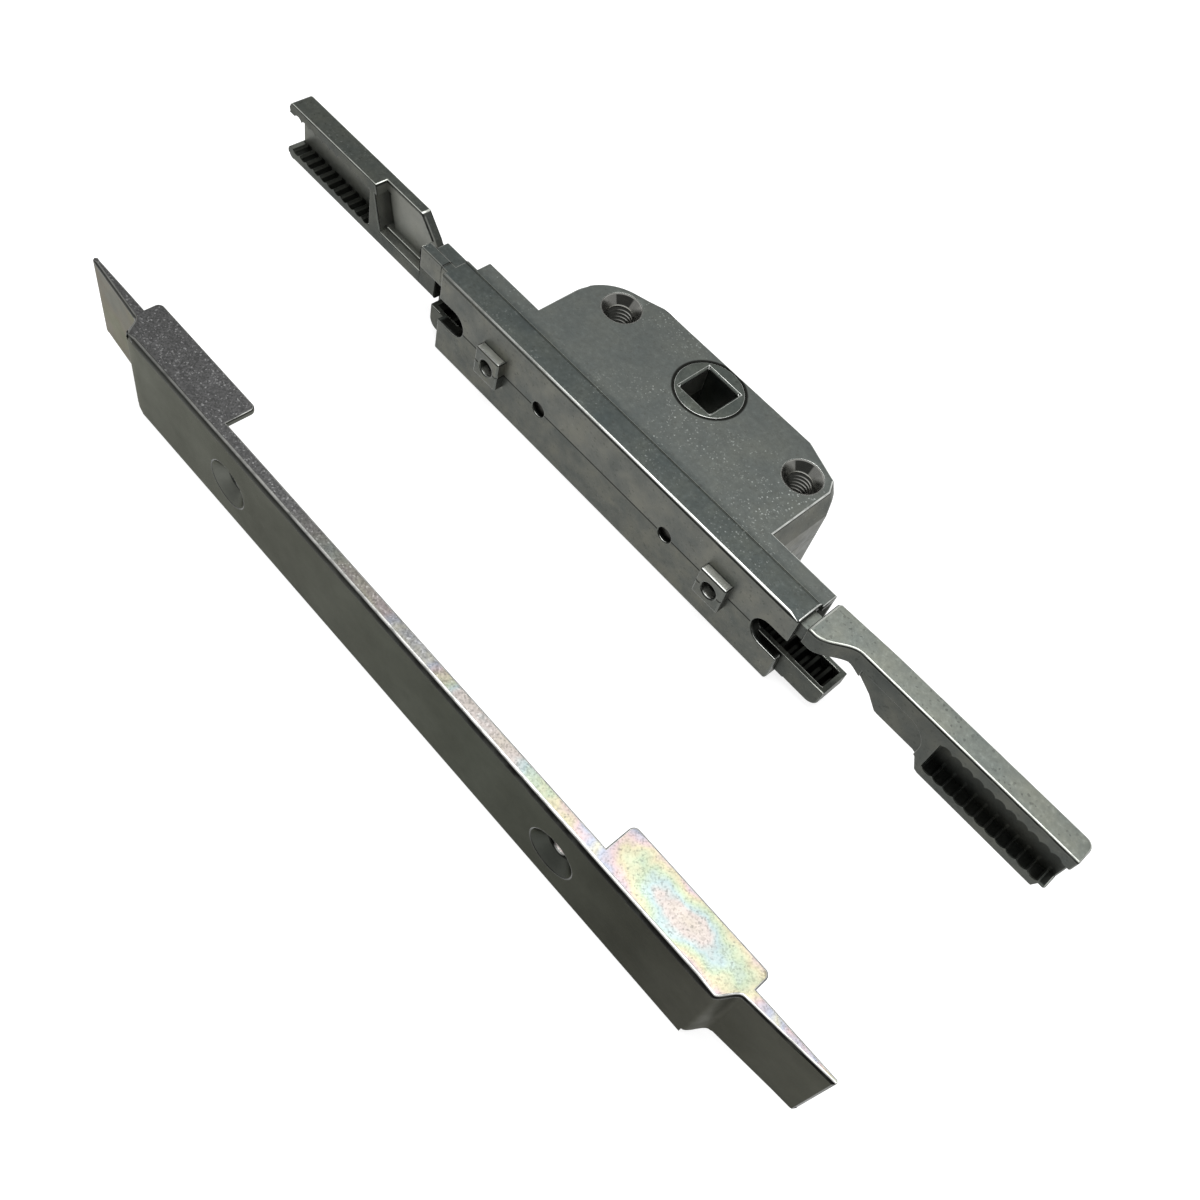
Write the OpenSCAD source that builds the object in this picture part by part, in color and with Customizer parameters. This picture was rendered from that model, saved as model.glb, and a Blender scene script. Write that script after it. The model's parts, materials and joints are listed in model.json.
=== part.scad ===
// Espagnolette gearbox for a window sash, with its loose cover plate.
// Origin on the spindle axis at the handle face. +Z points to the handle side, +X along
// the right arm, -Y to the front face of the sash. Both arms are drawn in, as at rest.
// Turning the spindle by a quarter turn drives the right slide out through a side rack,
// and two reversing pinions drive the left slide out by the same stroke.

/* [Casing] */
// Length of the casing strip along X
casing_len = 83.6; // [80:0.1:100]
// How far the middle of the casing lies left of the spindle axis
casing_off = 2.15; // [1:0.05:4]
// Thickness of the casing from the handle face to the underside
casing_h = 17.8; // [17.4:0.1:22]
// Backset, from the spindle axis to the front face
backset = 20.75; // [20:0.05:25]
// Width of the strip that runs along the front
strip_w = 8.45; // [8.3:0.05:10]
// Reach of the bulge behind the spindle axis
bulge_reach = 6.48; // [6.4:0.02:12]
// Left wall of the bulge, measured from the spindle axis
bulge_left = 28.95; // [27.5:0.05:32]
// Right wall of the bulge, measured from the spindle axis
bulge_right = 28; // [27.5:0.05:32]
// How far the right wall of the bulge leans in at the top
bulge_lean = 1.7; // [0.4:0.1:2]
// Wall over the slides, on the handle side
top_wall = 1.3; // [1:0.05:1.35]
// Front wall of the upper shell
front_wall = 0.9; // [0.6:0.05:0.95]
// Back wall of the strip
back_wall = 0.7; // [0.5:0.05:0.75]
// Side and rear walls of the bulge
bulge_wall = 1.4; // [1:0.05:1.6]
// Floor under the lower slide
floor_wall = 1.6; // [1.2:0.05:1.65]
// Depth of the parting line below the handle face
parting_depth = 8.8; // [8.6:0.05:9]
// Height of the passage for the cover screw at the left end
left_slot_h = 5.15; // [4.6:0.05:5.3]
// Height of the passage for the cover screw at the right end
right_slot_h = 5.8; // [4.6:0.05:5.9]
// Length of both passages, from the end of the casing
slot_len = 6.55; // [5.5:0.05:7]

/* [Front lugs] */
// Distance between the two lugs on the front face
lug_pitch = 54.3; // [48:0.1:58]
// Length of a lug along X
lug_len = 5.75; // [5:0.05:7]
// How far a lug stands out of the front face
lug_out = 1.65; // [0.8:0.05:2.5]
// Height of a lug
lug_h = 6.4; // [5:0.1:7.5]
// Diameter of the hole in a lug
lug_hole_d = 3; // [2:0.1:3.6]

/* [Lip] */
// Length of the lip that covers the neck of the left arm
lip_len = 6.65; // [5:0.05:8]
// Width of the lip
lip_w = 4.78; // [4:0.02:5.2]
// Height of the lip's front wall
lip_h = 4.5; // [3:0.1:4.6]

/* [Spindle] */
// Side of the square socket
square_side = 7; // [6:0.1:7.2]
// Diameter of the hub in the handle face
hub_d = 12; // [11.8:0.1:12.2]
// Diameter of the hub below the handle face
neck_d = 11.2; // [11:0.1:11.4]
// Number of teeth on the sector
sector_teeth = 8; // [8:1:9]
// Turn of the spindle from one end of the stroke to the other, in degrees
spindle_turn = 90; // [60:5:90]
// Module of the sector and its side rack
sector_module = 1; // [0.9:0.05:1.05]

/* [Fixing screws] */
// Distance between the two handle screws
screw_pitch = 43; // [42:0.5:44]
// Inner diameter of the threaded bushes, the core of the M5 thread
bush_bore_d = 4.2; // [3.4:0.1:4.4]
// Outer diameter of the threaded bushes
bush_d = 6.4; // [6:0.1:7]
// Rim diameter of the countersink in a bush
bush_rim_d = 7.2; // [6.9:0.1:8]

/* [Reversing pinions] */
// Distance between the axes of the two pinions
pinion_pitch = 30.84; // [28:0.1:32]
// Module of the pinions and their racks
pinion_module = 0.8; // [0.76:0.01:0.8]
// Number of teeth on a pinion
pinion_teeth = 9; // [9:1:9]
// Width of a pinion
pinion_w = 3.8; // [3:0.1:4]
// Diameter of a pinion pin
pin_d = 2.8; // [2.2:0.1:3]

/* [Slides] */
// Thickness of the upper slide's plate without its teeth
slide_t = 2.9; // [2.4:0.05:2.95]
// Depth of the lower slide's tray
tray_h = 4.7; // [4.4:0.05:4.75]
// Width of the lower slide's tray
tray_w = 6; // [5.6:0.05:6.1]
// Wall of the tray
tray_wall = 0.9; // [0.6:0.05:0.95]
// How far the tray stands out of the right end of the casing
tray_out = 8.75; // [4:0.05:12]
// Play between parts that slide on each other
play = 0.2; // [0.15:0.01:0.22]

/* [Arms] */
// Reach of the right arm from the spindle axis
right_reach = 90.3; // [86:0.1:100]
// Reach of the left arm from the spindle axis
left_reach = 92; // [89:0.1:100]
// Height of both arms
arm_h = 12.2; // [11.8:0.1:12.4]
// Depth of both arms, front to back
arm_w = 4.4; // [4:0.05:4.6]
// Length of the serrated sockets
socket_len = 24.25; // [18:0.05:25]
// Depth of the serrated sockets, front to back
socket_deep = 2.6; // [2:0.05:3]
// Pitch of the serrations
serration_pitch = 2.06; // [1.8:0.02:2.4]
// Depth of the serrations
serration_deep = 0.6; // [0.4:0.05:0.7]
// Flange above a socket, measured to the bottom of the serrations
flange_t = 2.15; // [1.6:0.05:2.4]
// Flange below a socket, measured to the bottom of the serrations
foot_t = 1.75; // [1.5:0.05:2.2]

/* [Cover plate] */
// Length of the cover's front plate
cover_len = 128.1; // [120:0.1:140]
// Thickness of the cover's front plate
cover_t = 2.6; // [2.3:0.05:3]
// Distance between the two countersunk holes
cover_hole_pitch = 74.9; // [70:0.1:80]
// Diameter of the screw holes
cover_hole_d = 4.5; // [4:0.1:5]
// Rim diameter of the countersinks
cover_rim_d = 8.4; // [7.5:0.1:8.8]
// Length of a tab on the upper edge
tab_len = 25.3; // [20:0.1:30]
// How far the tabs reach back from the front face
tab_reach = 7.8; // [6.6:0.05:9]
// Thickness of the tabs
tab_t = 1.1; // [0.8:0.05:1.5]
// Length of the longer wedge, at the right end
wedge_len = 14.2; // [11:0.1:18]
// Distance between the front of the gearbox and the front of the cover
cover_apart = 49; // [45:0.1:60]
// How far the middle of the cover lies right of the middle of the casing
cover_shift = 7.55; // [0:0.05:12]

/* [Hidden] */

$fn = 64;
eps = 0.05;
far = 200;

// Casing planes
casing_mid = -casing_off;
casing_l = casing_mid - casing_len / 2;
casing_r = casing_mid + casing_len / 2;
front_y = -backset;
strip_back_y = front_y + strip_w;
part_z = -parting_depth;
base_z = -casing_h;
floor_z = base_z + floor_wall;
ceiling_z = -top_wall;
back_step = 0.5;
ridge_step = 0.15;
ridge_w = 5.15;

// Bulge
corner_r = 9;
corner_run = 3.95;
chamfer_run = 7.7;
chamfer_rise = 2.98;
chamfer_angle = atan(chamfer_rise / chamfer_run);
rear_corner_x = bulge_right - bulge_lean - 1.1;
lean_depth = 3.3;
corner_turn = 29;
corner_top_y = 1.5;

// Pinions and their racks. The pitch lines lie one pitch radius above and below the axis.
pinion_r = pinion_module * pinion_teeth / 2;
pinion_z = part_z;
pinion_x = [casing_mid - pinion_pitch / 2, casing_mid + pinion_pitch / 2];
pinion_add = 0.8 * pinion_module;
pinion_ded = 1.0 * pinion_module;
pinion_angle = 25;
upper_line_z = pinion_z + pinion_r;
lower_line_z = pinion_z - pinion_r;
pin_r = pin_d / 2;
seat_play = 0.02;
running_play = 0.05;

// Sector and side rack
rack_inset = 8.75;
sector_r = backset - rack_inset;
sector_add = sector_module;
sector_ded = 1.25 * sector_module;
sector_angle = 20;
sector_tip = sector_r + sector_add;
tooth_step = 180 * sector_module / sector_r;
sector_mid = -90 - spindle_turn / 2;
sector_top = ceiling_z - play - 0.1;
sector_bottom = sector_top - 4.6;
stroke = spindle_turn * PI / 180 * sector_r;
rack_tooth_w = PI * sector_module;
backlash = 0.16;

// Slides
slide_top = ceiling_z - play;
slide_bottom = slide_top - slide_t;
slide_front = front_y + front_wall + play + 0.05;
slide_back = -sector_r - sector_ded;
tray_top = lower_line_z + 1.1;
tray_bottom = tray_top - tray_h;
tray_front = front_y + 1.55;
tray_back = tray_front + tray_w;
teeth_front = tray_front + tray_wall + 0.1;
teeth_back = tray_back - tray_wall - 0.1;
tray_l = casing_l - 3.65;
tray_r = casing_r + tray_out;
tray_round = 2;
rail_y = tray_front + 0.7;

// Arms
arm_back = strip_back_y - 0.15;
arm_front = arm_back - arm_w;
shoulder_gap = 1.5;
shoulder_x = casing_r + shoulder_gap;
shoulder_front = front_y + 0.25;
shoulder_h = 3.8;
neck_back = tray_back + 0.3;
left_front = arm_front - 0.5;
left_back = arm_back - 0.35;
crest_flat = 0.04;
lip_front = front_y + 0.87;
lip_back = lip_front + lip_w;
lip_step_y = lip_front + 2.1;
lip_l = casing_l - lip_len;

// Cover: holes, joggles and wedges at its ends. Pairs are for the left and the right end:
// length of the wedge, how far its lower edge is raised, and how far the tab stands over it
cover_hole_shift = 1.4;
cover_hole_z = base_z / 2 - 0.85;
joggle_run = 2.7;
joggle_back = 2.9;
wedge_back = 4.95;
wedge_tip = 0.85;
wedge_lens = [wedge_len - 0.9, wedge_len];
wedge_lift = [2.1, 1.6];
tab_out = [3.1, 3];

// Bosses and posts
boss_r = bush_d / 2 + 1.4;
bush_foot_r = bush_d / 2 + 0.8;
post_half = 2.6;
post_front = tray_back + 0.25;
post_back = post_front + 1.75;
pin_front = front_y + 0.85;
pin_back = post_back - 0.2;

// Colours of the cast zinc, the steel and the plated cover
zinc = [0.40, 0.42, 0.41];
zinc_light = [0.47, 0.48, 0.47];
steel = [0.72, 0.72, 0.70];
plated = [0.45, 0.46, 0.43];

// A box between two corners
module box(a, b) {
    translate(a) cube(b - a);
}

// A flat shape in X and Z, carried through from y0 to y1
module along_y(y0, y1) {
    translate([0, y1, 0]) rotate([90, 0, 0]) linear_extrude(y1 - y0) children();
}

// A flat shape in X and Y, carried through from z0 to z1
module upright(z0, z1) {
    translate([0, 0, z0]) linear_extrude(z1 - z0) children();
}

// A round bar along Y
module bar_y(x, z, r, y0, y1) {
    translate([x, y1, z]) rotate([90, 0, 0]) cylinder(r = r, h = y1 - y0);
}

// Gear geometry: involute flanks from the base circle, radial below it
function inv(a) = tan(a) * 180 / PI - a;
function flank_half(r, pitch_r, angle, tooth_w) =
    let (base_r = pitch_r * cos(angle))
    tooth_w / 2 / pitch_r * 180 / PI + inv(angle) - inv(r > base_r ? acos(base_r / r) : 0);
function polar(r, a) = [r * cos(a), r * sin(a)];
function flank_radii(root, tip, steps) = [for (i = [0 : steps]) root + (tip - root) * i / steps];
function tooth(mid, root, tip, pitch_r, angle, tooth_w) =
    let (radii = flank_radii(root, tip, 5))
    concat(
        [for (i = [0 : 5]) polar(radii[i], mid - flank_half(radii[i], pitch_r, angle, tooth_w))],
        [for (i = [5 : -1 : 0]) polar(radii[i], mid + flank_half(radii[i], pitch_r, angle, tooth_w))]);

// Rack profile: straight flanks, one tooth every pitch, h counted out from the pitch line
function rack_tooth(x, pitch, angle, add, ded) =
    let (half = pitch / 4 - backlash / 4)
    [[x - half - ded * tan(angle), -ded], [x - half + add * tan(angle), add],
     [x + half - add * tan(angle), add], [x + half + ded * tan(angle), -ded]];
function rack_points(x0, first, last, pitch, angle, add, ded) =
    [for (k = [first : last]) each rack_tooth(x0 + k * pitch, pitch, angle, add, ded)];

module rack_shape(x0, first, last, pitch, angle, add, ded, sink) {
    points = rack_points(x0, first, last, pitch, angle, add, ded);
    polygon(concat(points, [[points[len(points) - 1][0], -ded - sink], [points[0][0], -ded - sink]]));
}

// Outline of the bulge seen from the handle side, grown inwards by a wall
module bulge_outline(wall) {
    left = -bulge_left + wall;
    right = bulge_right - wall;
    back = bulge_reach - wall;
    r = corner_r - wall;
    centre_y = back - chamfer_rise + (r - corner_run) * tan(chamfer_angle) - r / cos(chamfer_angle);
    centre = [left + r, centre_y];
    touch = centre + polar(r, 90 + chamfer_angle);
    polygon([[left, strip_back_y - 1], [left, centre[1]], centre, touch,
             [left + corner_run + chamfer_run, back], [rear_corner_x - chamfer_run - wall, back],
             [rear_corner_x + 1 - wall, back - chamfer_rise], [right, back - 2 * chamfer_rise],
             [right, strip_back_y - 1]]);
    translate(centre) circle(r = r);
}

// Outer block of the casing between two heights
module casing_block(z0, z1) {
    box([casing_l, front_y, z0], [casing_r, strip_back_y, z1]);
    box([casing_r - 1, front_y + ridge_w, z0], [casing_r + back_step, strip_back_y, z1]);
    upright(z0, z1) bulge_outline(0);
}

// The right wall of the bulge and its far corner lean in towards the handle face
module lean_cut() {
    lean_angle = atan(bulge_lean / lean_depth);
    top_x = bulge_right - bulge_lean;
    corner_top = top_x * cos(corner_turn) + corner_top_y * sin(corner_turn);
    for (wall = [[0, top_x], [corner_turn, corner_top]])
        intersection() {
            rotate([0, 0, wall[0]]) translate([wall[1], 0, 0]) rotate([0, -lean_angle, 0])
                translate([0, -far / 2, -lean_depth / cos(lean_angle)]) cube([far, far, far]);
            box([0, wall[0] == 0 ? strip_back_y : 0, -lean_depth], [far, far, 1]);
        }
}

// Passages for the cover screws, open at the ends of the casing
module screw_passages() {
    left_top = part_z + 3;
    right_top = part_z + 2.9;
    end_slot(casing_l - 1, casing_l + slot_len, left_top - left_slot_h, left_top, 1);
    end_slot(casing_r + 1, casing_r - slot_len, right_top - right_slot_h, right_top, -1);
}

// A slot through the strip with one round end: side is 1 when it opens to the left
module end_slot(x_open, x_round, z0, z1, side) {
    r = (z1 - z0) / 2;
    x_centre = x_round - side * r;
    box([min(x_open, x_centre), front_y - 1, z0], [max(x_open, x_centre), strip_back_y + 1, z1]);
    bar_y(x_centre, (z0 + z1) / 2, r, front_y - 1, strip_back_y + 1);
}

lug_x = [casing_mid - lug_pitch / 2, casing_mid + lug_pitch / 2];

module lugs(z0, z1) {
    for (x = lug_x)
        box([x - lug_len / 2, front_y - lug_out, z0], [x + lug_len / 2, front_y + eps, z1]);
}

module lug_holes() {
    for (x = lug_x) bar_y(x, part_z, lug_hole_d / 2, front_y - lug_out - 1, front_y + 0.7);
}

// Half bores for the pinion pins, in the front wall and its rail
module pin_seats() {
    for (x = pinion_x) bar_y(x, pinion_z, pin_r + seat_play, front_y - 1, pin_back + eps);
}

module bush_holes() {
    for (side = [-1, 1])
        translate([side * screw_pitch / 2, 0, 0]) {
            translate([0, 0, base_z - 1]) cylinder(r = bush_d / 2 + seat_play, h = casing_h + 2);
            translate([0, 0, -1.2]) cylinder(r = bush_rim_d / 2 + seat_play, h = 2);
            translate([0, 0, base_z - 1]) cylinder(r = bush_foot_r + 0.1, h = 1.9);
        }
}

module bush_bosses(z0, z1) {
    for (side = [-1, 1])
        translate([side * screw_pitch / 2, 0, z0]) cylinder(r = boss_r, h = z1 - z0);
}

// Upper half of the casing, on the handle side
module upper_shell() {
    color(zinc) {
        difference() {
            union() {
                difference() {
                    union() {
                        casing_block(part_z, 0);
                        lip();
                    }
                    upper_hollow();
                    lean_cut();
                }
                intersection() {
                    bush_bosses(part_z, ceiling_z + eps);
                    upright(part_z, 0) bulge_outline(0.3);
                }
                lugs(part_z, part_z + lug_h / 2);
            }
            lug_holes();
            pin_seats();
            screw_passages();
            bush_holes();
            translate([0, 0, part_z - 1]) cylinder(d = hub_d + 2 * running_play, h = parting_depth + 2);
            box([casing_l - 1, front_y - 1, -ridge_step], [casing_r - 0.35, front_y + ridge_w, 1]);
            box([casing_l - 1, lip_back, part_z - 1], [casing_l + 2.45, strip_back_y + 1, 1]);
        }
    }
}

// Lip over the neck of the left arm: a raised near band and a lower far band
module lip() {
    box([lip_l, lip_front, -lip_h], [casing_l + eps, lip_step_y, 0]);
    box([lip_l + 1.35, lip_step_y - eps, -lip_h], [casing_l + 0.5, lip_back, -0.3]);
}

// Room inside the upper shell for the upper slide, the sector and the pinions
module upper_hollow() {
    inner_front = front_y + front_wall;
    inner_back = strip_back_y - back_wall;
    box([casing_l - 1, inner_front, slide_bottom - play], [casing_r + 2, inner_back, ceiling_z]);
    box([casing_l - 1, rail_y, part_z - 1], [casing_r + 2, inner_back, ceiling_z]);
    box([lip_l - 1, lip_front + front_wall, -lip_h - 1],
        [casing_l + eps, lip_back + 1, ceiling_z - 0.2]);
    intersection() {
        upright(part_z - 1, ceiling_z) bulge_outline(bulge_wall);
        box([-far, inner_back - 1, part_z - 1], [far, bulge_reach - 1, ceiling_z]);
    }
    translate([0, 0, part_z - 1]) cylinder(d = neck_d + 0.4, h = parting_depth + 1 + ceiling_z);
    box([-bulge_left + bulge_wall, rail_y, part_z - 1], [bulge_right - bulge_wall, 0, ceiling_z]);
}

// Lower half of the casing
module lower_shell() {
    color(zinc) {
        difference() {
            union() {
                difference() {
                    casing_block(base_z, part_z);
                    lower_hollow();
                }
                intersection() {
                    bush_bosses(floor_z - eps, part_z);
                    upright(base_z, 0) bulge_outline(0.3);
                }
                lugs(part_z - lug_h / 2 + 0.1, part_z);
                spindle_seat();
                pin_posts();
            }
            lug_holes();
            pin_seats();
            pin_post_slots();
            screw_passages();
            bush_holes();
            translate([0, 0, base_z - 1]) cylinder(d = neck_d + 2 * running_play, h = casing_h + 2);
        }
    }
}

// Room inside the lower shell for the tray, the sector's hub and the pinions
module lower_hollow() {
    inner_back = strip_back_y - back_wall;
    box([casing_l - 1, tray_front - play - 0.05, floor_z], [casing_r + 2, inner_back, tray_top + play]);
    box([casing_l - 1, rail_y, floor_z], [casing_r + 2, inner_back, part_z + 1]);
    intersection() {
        upright(floor_z, part_z + 1) bulge_outline(bulge_wall);
        box([-far, inner_back - 1, floor_z], [far, bulge_reach - 1, part_z + 1]);
    }
    box([-bulge_left + bulge_wall, rail_y, floor_z], [bulge_right - bulge_wall, 0, part_z + 1]);
}

// Half ring that carries the sector from below
module spindle_seat() {
    intersection() {
        translate([0, 0, floor_z - eps])
            cylinder(r = neck_d / 2 + 2, h = sector_bottom - play - floor_z + eps);
        box([-far, -far, floor_z - 1], [far, 3, 0]);
    }
}

// Posts that hold the rear ends of the pinion pins
module pin_posts() {
    for (x = pinion_x)
        box([x - post_half, post_front, floor_z - eps], [x + post_half, post_back, pinion_z + 1.8]);
}

module pin_post_slots() {
    for (x = pinion_x) {
        r = pin_r + seat_play;
        box([x - r, post_front - 1, pinion_z], [x + r, pin_back + eps, pinion_z + 3]);
    }
}

// Threaded bush that takes a handle screw and holds the two shells together
module threaded_bush(side) {
    color(steel) translate([side * screw_pitch / 2, 0, 0]) difference() {
        union() {
            translate([0, 0, base_z + 0.1]) cylinder(d = bush_d, h = casing_h - 0.1);
            translate([0, 0, -1.2 + seat_play]) cylinder(d = bush_rim_d, h = 1.2 - seat_play);
            translate([0, 0, base_z + 0.1]) cylinder(r = bush_foot_r, h = 0.75);
        }
        translate([0, 0, base_z - 1]) cylinder(d = bush_bore_d, h = casing_h + 2);
        translate([0, 0, -1.6]) cylinder(d1 = bush_bore_d + 0.9, d2 = bush_rim_d - 0.3, h = 1.6 + eps / 10);
    }
}
module threaded_bush_left() { threaded_bush(-1); }
module threaded_bush_right() { threaded_bush(1); }

// Sector of teeth seen from the handle side
module sector_outline() {
    root = sector_r - sector_ded;
    tooth_w = rack_tooth_w / 2 - backlash / 2;
    angles = [for (i = [0 : sector_teeth - 1]) sector_mid + (i - (sector_teeth - 1) / 2) * tooth_step];
    teeth = [for (a = angles) each tooth(a, root, sector_tip, sector_r, sector_angle, tooth_w)];
    start = angles[0] - tooth_step / 2;
    end = angles[sector_teeth - 1] + tooth_step / 2;
    polygon(concat([[0, 0], polar(root, start)], teeth, [polar(root, end)]));
}

// Spindle piece: hub with a square socket and a toothed sector under the handle face
module spindle_gear() {
    edge = 0.35;
    color(zinc_light) difference() {
        union() {
            translate([0, 0, sector_bottom]) cylinder(d = hub_d, h = -sector_bottom);
            translate([0, 0, base_z + 0.1]) cylinder(d = neck_d, h = casing_h - 0.1 + sector_top);
            upright(sector_bottom, sector_top) sector_outline();
        }
        half = square_side / 2;
        box([-half, -half, base_z - 1], [half, half, 1]);
        for (a = [0 : 90 : 270])
            rotate([0, 0, a]) translate([square_side / 2, -square_side / 2 - edge, -edge])
                rotate([0, 45, 0]) translate([-0.3, 0, 0]) cube([0.3, square_side + 2 * edge, 2]);
        below_hub();
    }
}

// Below the handle face the hub is narrower at the rear, where the wall is thin
module below_hub() {
    difference() {
        translate([0, 0, sector_bottom - 1]) cylinder(d = hub_d + 1, h = sector_top - sector_bottom + 1);
        translate([0, 0, sector_bottom - 2]) cylinder(d = neck_d, h = casing_h);
        upright(sector_bottom - 2, 0) sector_outline();
    }
}

// Right slide: rack plate inside the casing, shoulder and arm outside it
module right_slide() {
    color(zinc_light) {
        rack_plate();
        right_arm();
    }
}

// Plate with the side rack for the sector and the lower racks for the pinions
module rack_plate() {
    side_teeth = ceil((sector_teeth - 1) / 2 + spindle_turn / 2 / tooth_step);
    lower_pitch = PI * pinion_module;
    plate_l = pinion_x[0] - stroke - 2 * lower_pitch;
    reach = ceil(stroke / lower_pitch) + 1;
    box([plate_l, slide_front, slide_bottom], [casing_r - 2, slide_back, slide_top]);
    box([casing_r - 3, slide_front, slide_bottom], [shoulder_x + 1, slide_front + 3.6, slide_top]);
    upright(slide_bottom, slide_top) translate([0, -sector_r])
        rack_shape(0, -side_teeth, 1, rack_tooth_w, sector_angle, sector_add, sector_ded, 0.5);
    along_y(teeth_front, teeth_back) translate([0, upper_line_z]) mirror([0, 1]) {
        for (x = pinion_x)
            rack_shape(x + lower_pitch / 2, -reach, 0, lower_pitch, pinion_angle,
                       pinion_add, pinion_ded, 0.5);
    }
}

// Front edge of the right arm: a smooth step from the shoulder back to the bar
function s_curve(x0, x1, y0, y1, steps) =
    [for (i = [0 : steps]) [x0 + (x1 - x0) * i / steps, y0 + (y1 - y0) * (1 - cos(180 * i / steps)) / 2]];

module right_arm() {
    end_x = right_reach;
    socket_x = end_x - socket_len;
    bend_x = shoulder_x + 1.5;
    bend_len = 12;
    end_r = 1.5;
    foot_z = -arm_h;
    belly_x = shoulder_x + 15;
    belly_z = -9;
    first_x = socket_x + 0.6 * serration_pitch;
    count = floor(socket_len / serration_pitch);
    difference() {
        intersection() {
            upright(foot_z, 0) union() {
                polygon(concat(
                    [[shoulder_x + bend_len, arm_back], [shoulder_x + 0.5, left_back],
                     [shoulder_x, left_back - 0.5], [shoulder_x, shoulder_front]],
                    s_curve(bend_x, bend_x + 6.6, shoulder_front, arm_front, 14),
                    [[end_x, arm_front], [end_x, arm_back - end_r], [end_x - end_r, arm_back]]));
                translate([end_x - end_r, arm_back - end_r]) circle(r = end_r);
            }
            along_y(shoulder_front - 1, arm_back + 1) polygon([
                [shoulder_x - 1, 1], [shoulder_x - 1, -shoulder_h], [belly_x - 8, -shoulder_h],
                [belly_x - 5.2, -shoulder_h - 1.3], [belly_x - 2.8, -shoulder_h - 2.9],
                [belly_x - 0.7, belly_z + 0.1], [belly_x, belly_z],
                [socket_x - 2.6, belly_z], [socket_x - 1.7, belly_z - 0.4], [socket_x - 0.5, foot_z + 0.3],
                [socket_x + 0.3, foot_z], [end_x - 1.6, foot_z], [end_x - 1.1, foot_z + 1.9],
                [end_x + 1, foot_z + 1.9], [end_x + 1, 1]]);
        }
        box([socket_x, arm_front - 1, foot_z + foot_t + serration_deep - crest_flat],
            [end_x + 1, arm_front + socket_deep, crest_flat - flange_t - serration_deep]);
        grooves(first_x, count, -flange_t, 1, arm_front, arm_front + socket_deep);
        grooves(first_x, count, foot_z + foot_t, -1, arm_front, arm_front + socket_deep);
        recess(bend_x + 8, socket_x - 2, arm_front);
    }
}

// Row of round grooves with sharp crests between them: root_z is the level of their bottoms,
// up is 1 for grooves in the flange above a socket and -1 in the flange below it
module grooves(first_x, count, root_z, up, front, back) {
    half = serration_pitch / 2;
    r = (half * half + serration_deep * serration_deep) / 2 / serration_deep;
    for (k = [0 : count - 1])
        intersection() {
            x = first_x + k * serration_pitch;
            bar_y(x, root_z - up * r, r, front - 1, back);
            box([x - half, front - 1, root_z - serration_deep],
                [x + half, back, root_z + serration_deep]);
        }
}

// Shallow recess in the front face with one round end
module recess(x0, x1, face_y) {
    deep = 0.3;
    r = 4;
    along_y(face_y - 1, face_y + deep) union() {
        polygon([[x0, -3.2], [x1 - r, -3.2], [x1 - r, -7.2], [x1, -7.2], [x1, -arm_h], [x0, -arm_h]]);
        translate([x1 - r, -7.2]) circle(r = r);
    }
}

// Left slide: arm and neck outside the casing, toothed tray inside it
module left_slide() {
    color(zinc_light) {
        tray();
        left_arm();
        neck();
    }
}

// Tray of the lower slide, a channel with rack teeth on its floor
module tray() {
    pitch = PI * pinion_module;
    inner_l = tray_l + 2.4;
    inner_r = tray_r - tray_wall;
    root_z = lower_line_z - pinion_ded;
    split = (pinion_x[0] + stroke + pinion_x[1]) / 2;
    right_last = floor((inner_r - pinion_x[1]) / pitch - 0.6);
    left_first = floor((pinion_x[0] - inner_l) / pitch - 0.6);
    right_first = floor((pinion_x[1] - split) / pitch - 0.6);
    left_last = floor((split - pinion_x[0]) / pitch - 0.6);
    difference() {
        along_y(tray_front, tray_back) tray_side();
        box([inner_l, tray_front + tray_wall, root_z], [inner_r, tray_back - tray_wall, 0]);
    }
    along_y(tray_front + tray_wall - eps, tray_back - tray_wall + eps) translate([0, lower_line_z]) {
        rack_shape(pinion_x[0], -left_first, left_last, pitch, pinion_angle,
                   pinion_add, pinion_ded, 0.5);
        rack_shape(pinion_x[1], -right_first, right_last, pitch, pinion_angle,
                   pinion_add, pinion_ded, 0.5);
    }
}

module tray_side() {
    r = tray_round;
    polygon([[tray_l, tray_top], [tray_l, tray_bottom + r], [tray_l + r, tray_bottom],
             [tray_r - r, tray_bottom], [tray_r, tray_bottom + r], [tray_r, tray_top]]);
    for (x = [tray_l + r, tray_r - r]) translate([x, tray_bottom + r]) circle(r = r);
}

// Neck: a block under the lip and a web that goes down to the tray
module neck() {
    block_l = lip_l - 2.9;
    block_r = lip_l + 1.6;
    top = -lip_h - play - 0.2;
    box([block_l, left_front, -arm_h], [block_r, neck_back, top]);
    box([block_r - 1, neck_back - 2.5, tray_bottom], [casing_l - 0.65, neck_back, top]);
}

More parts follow.
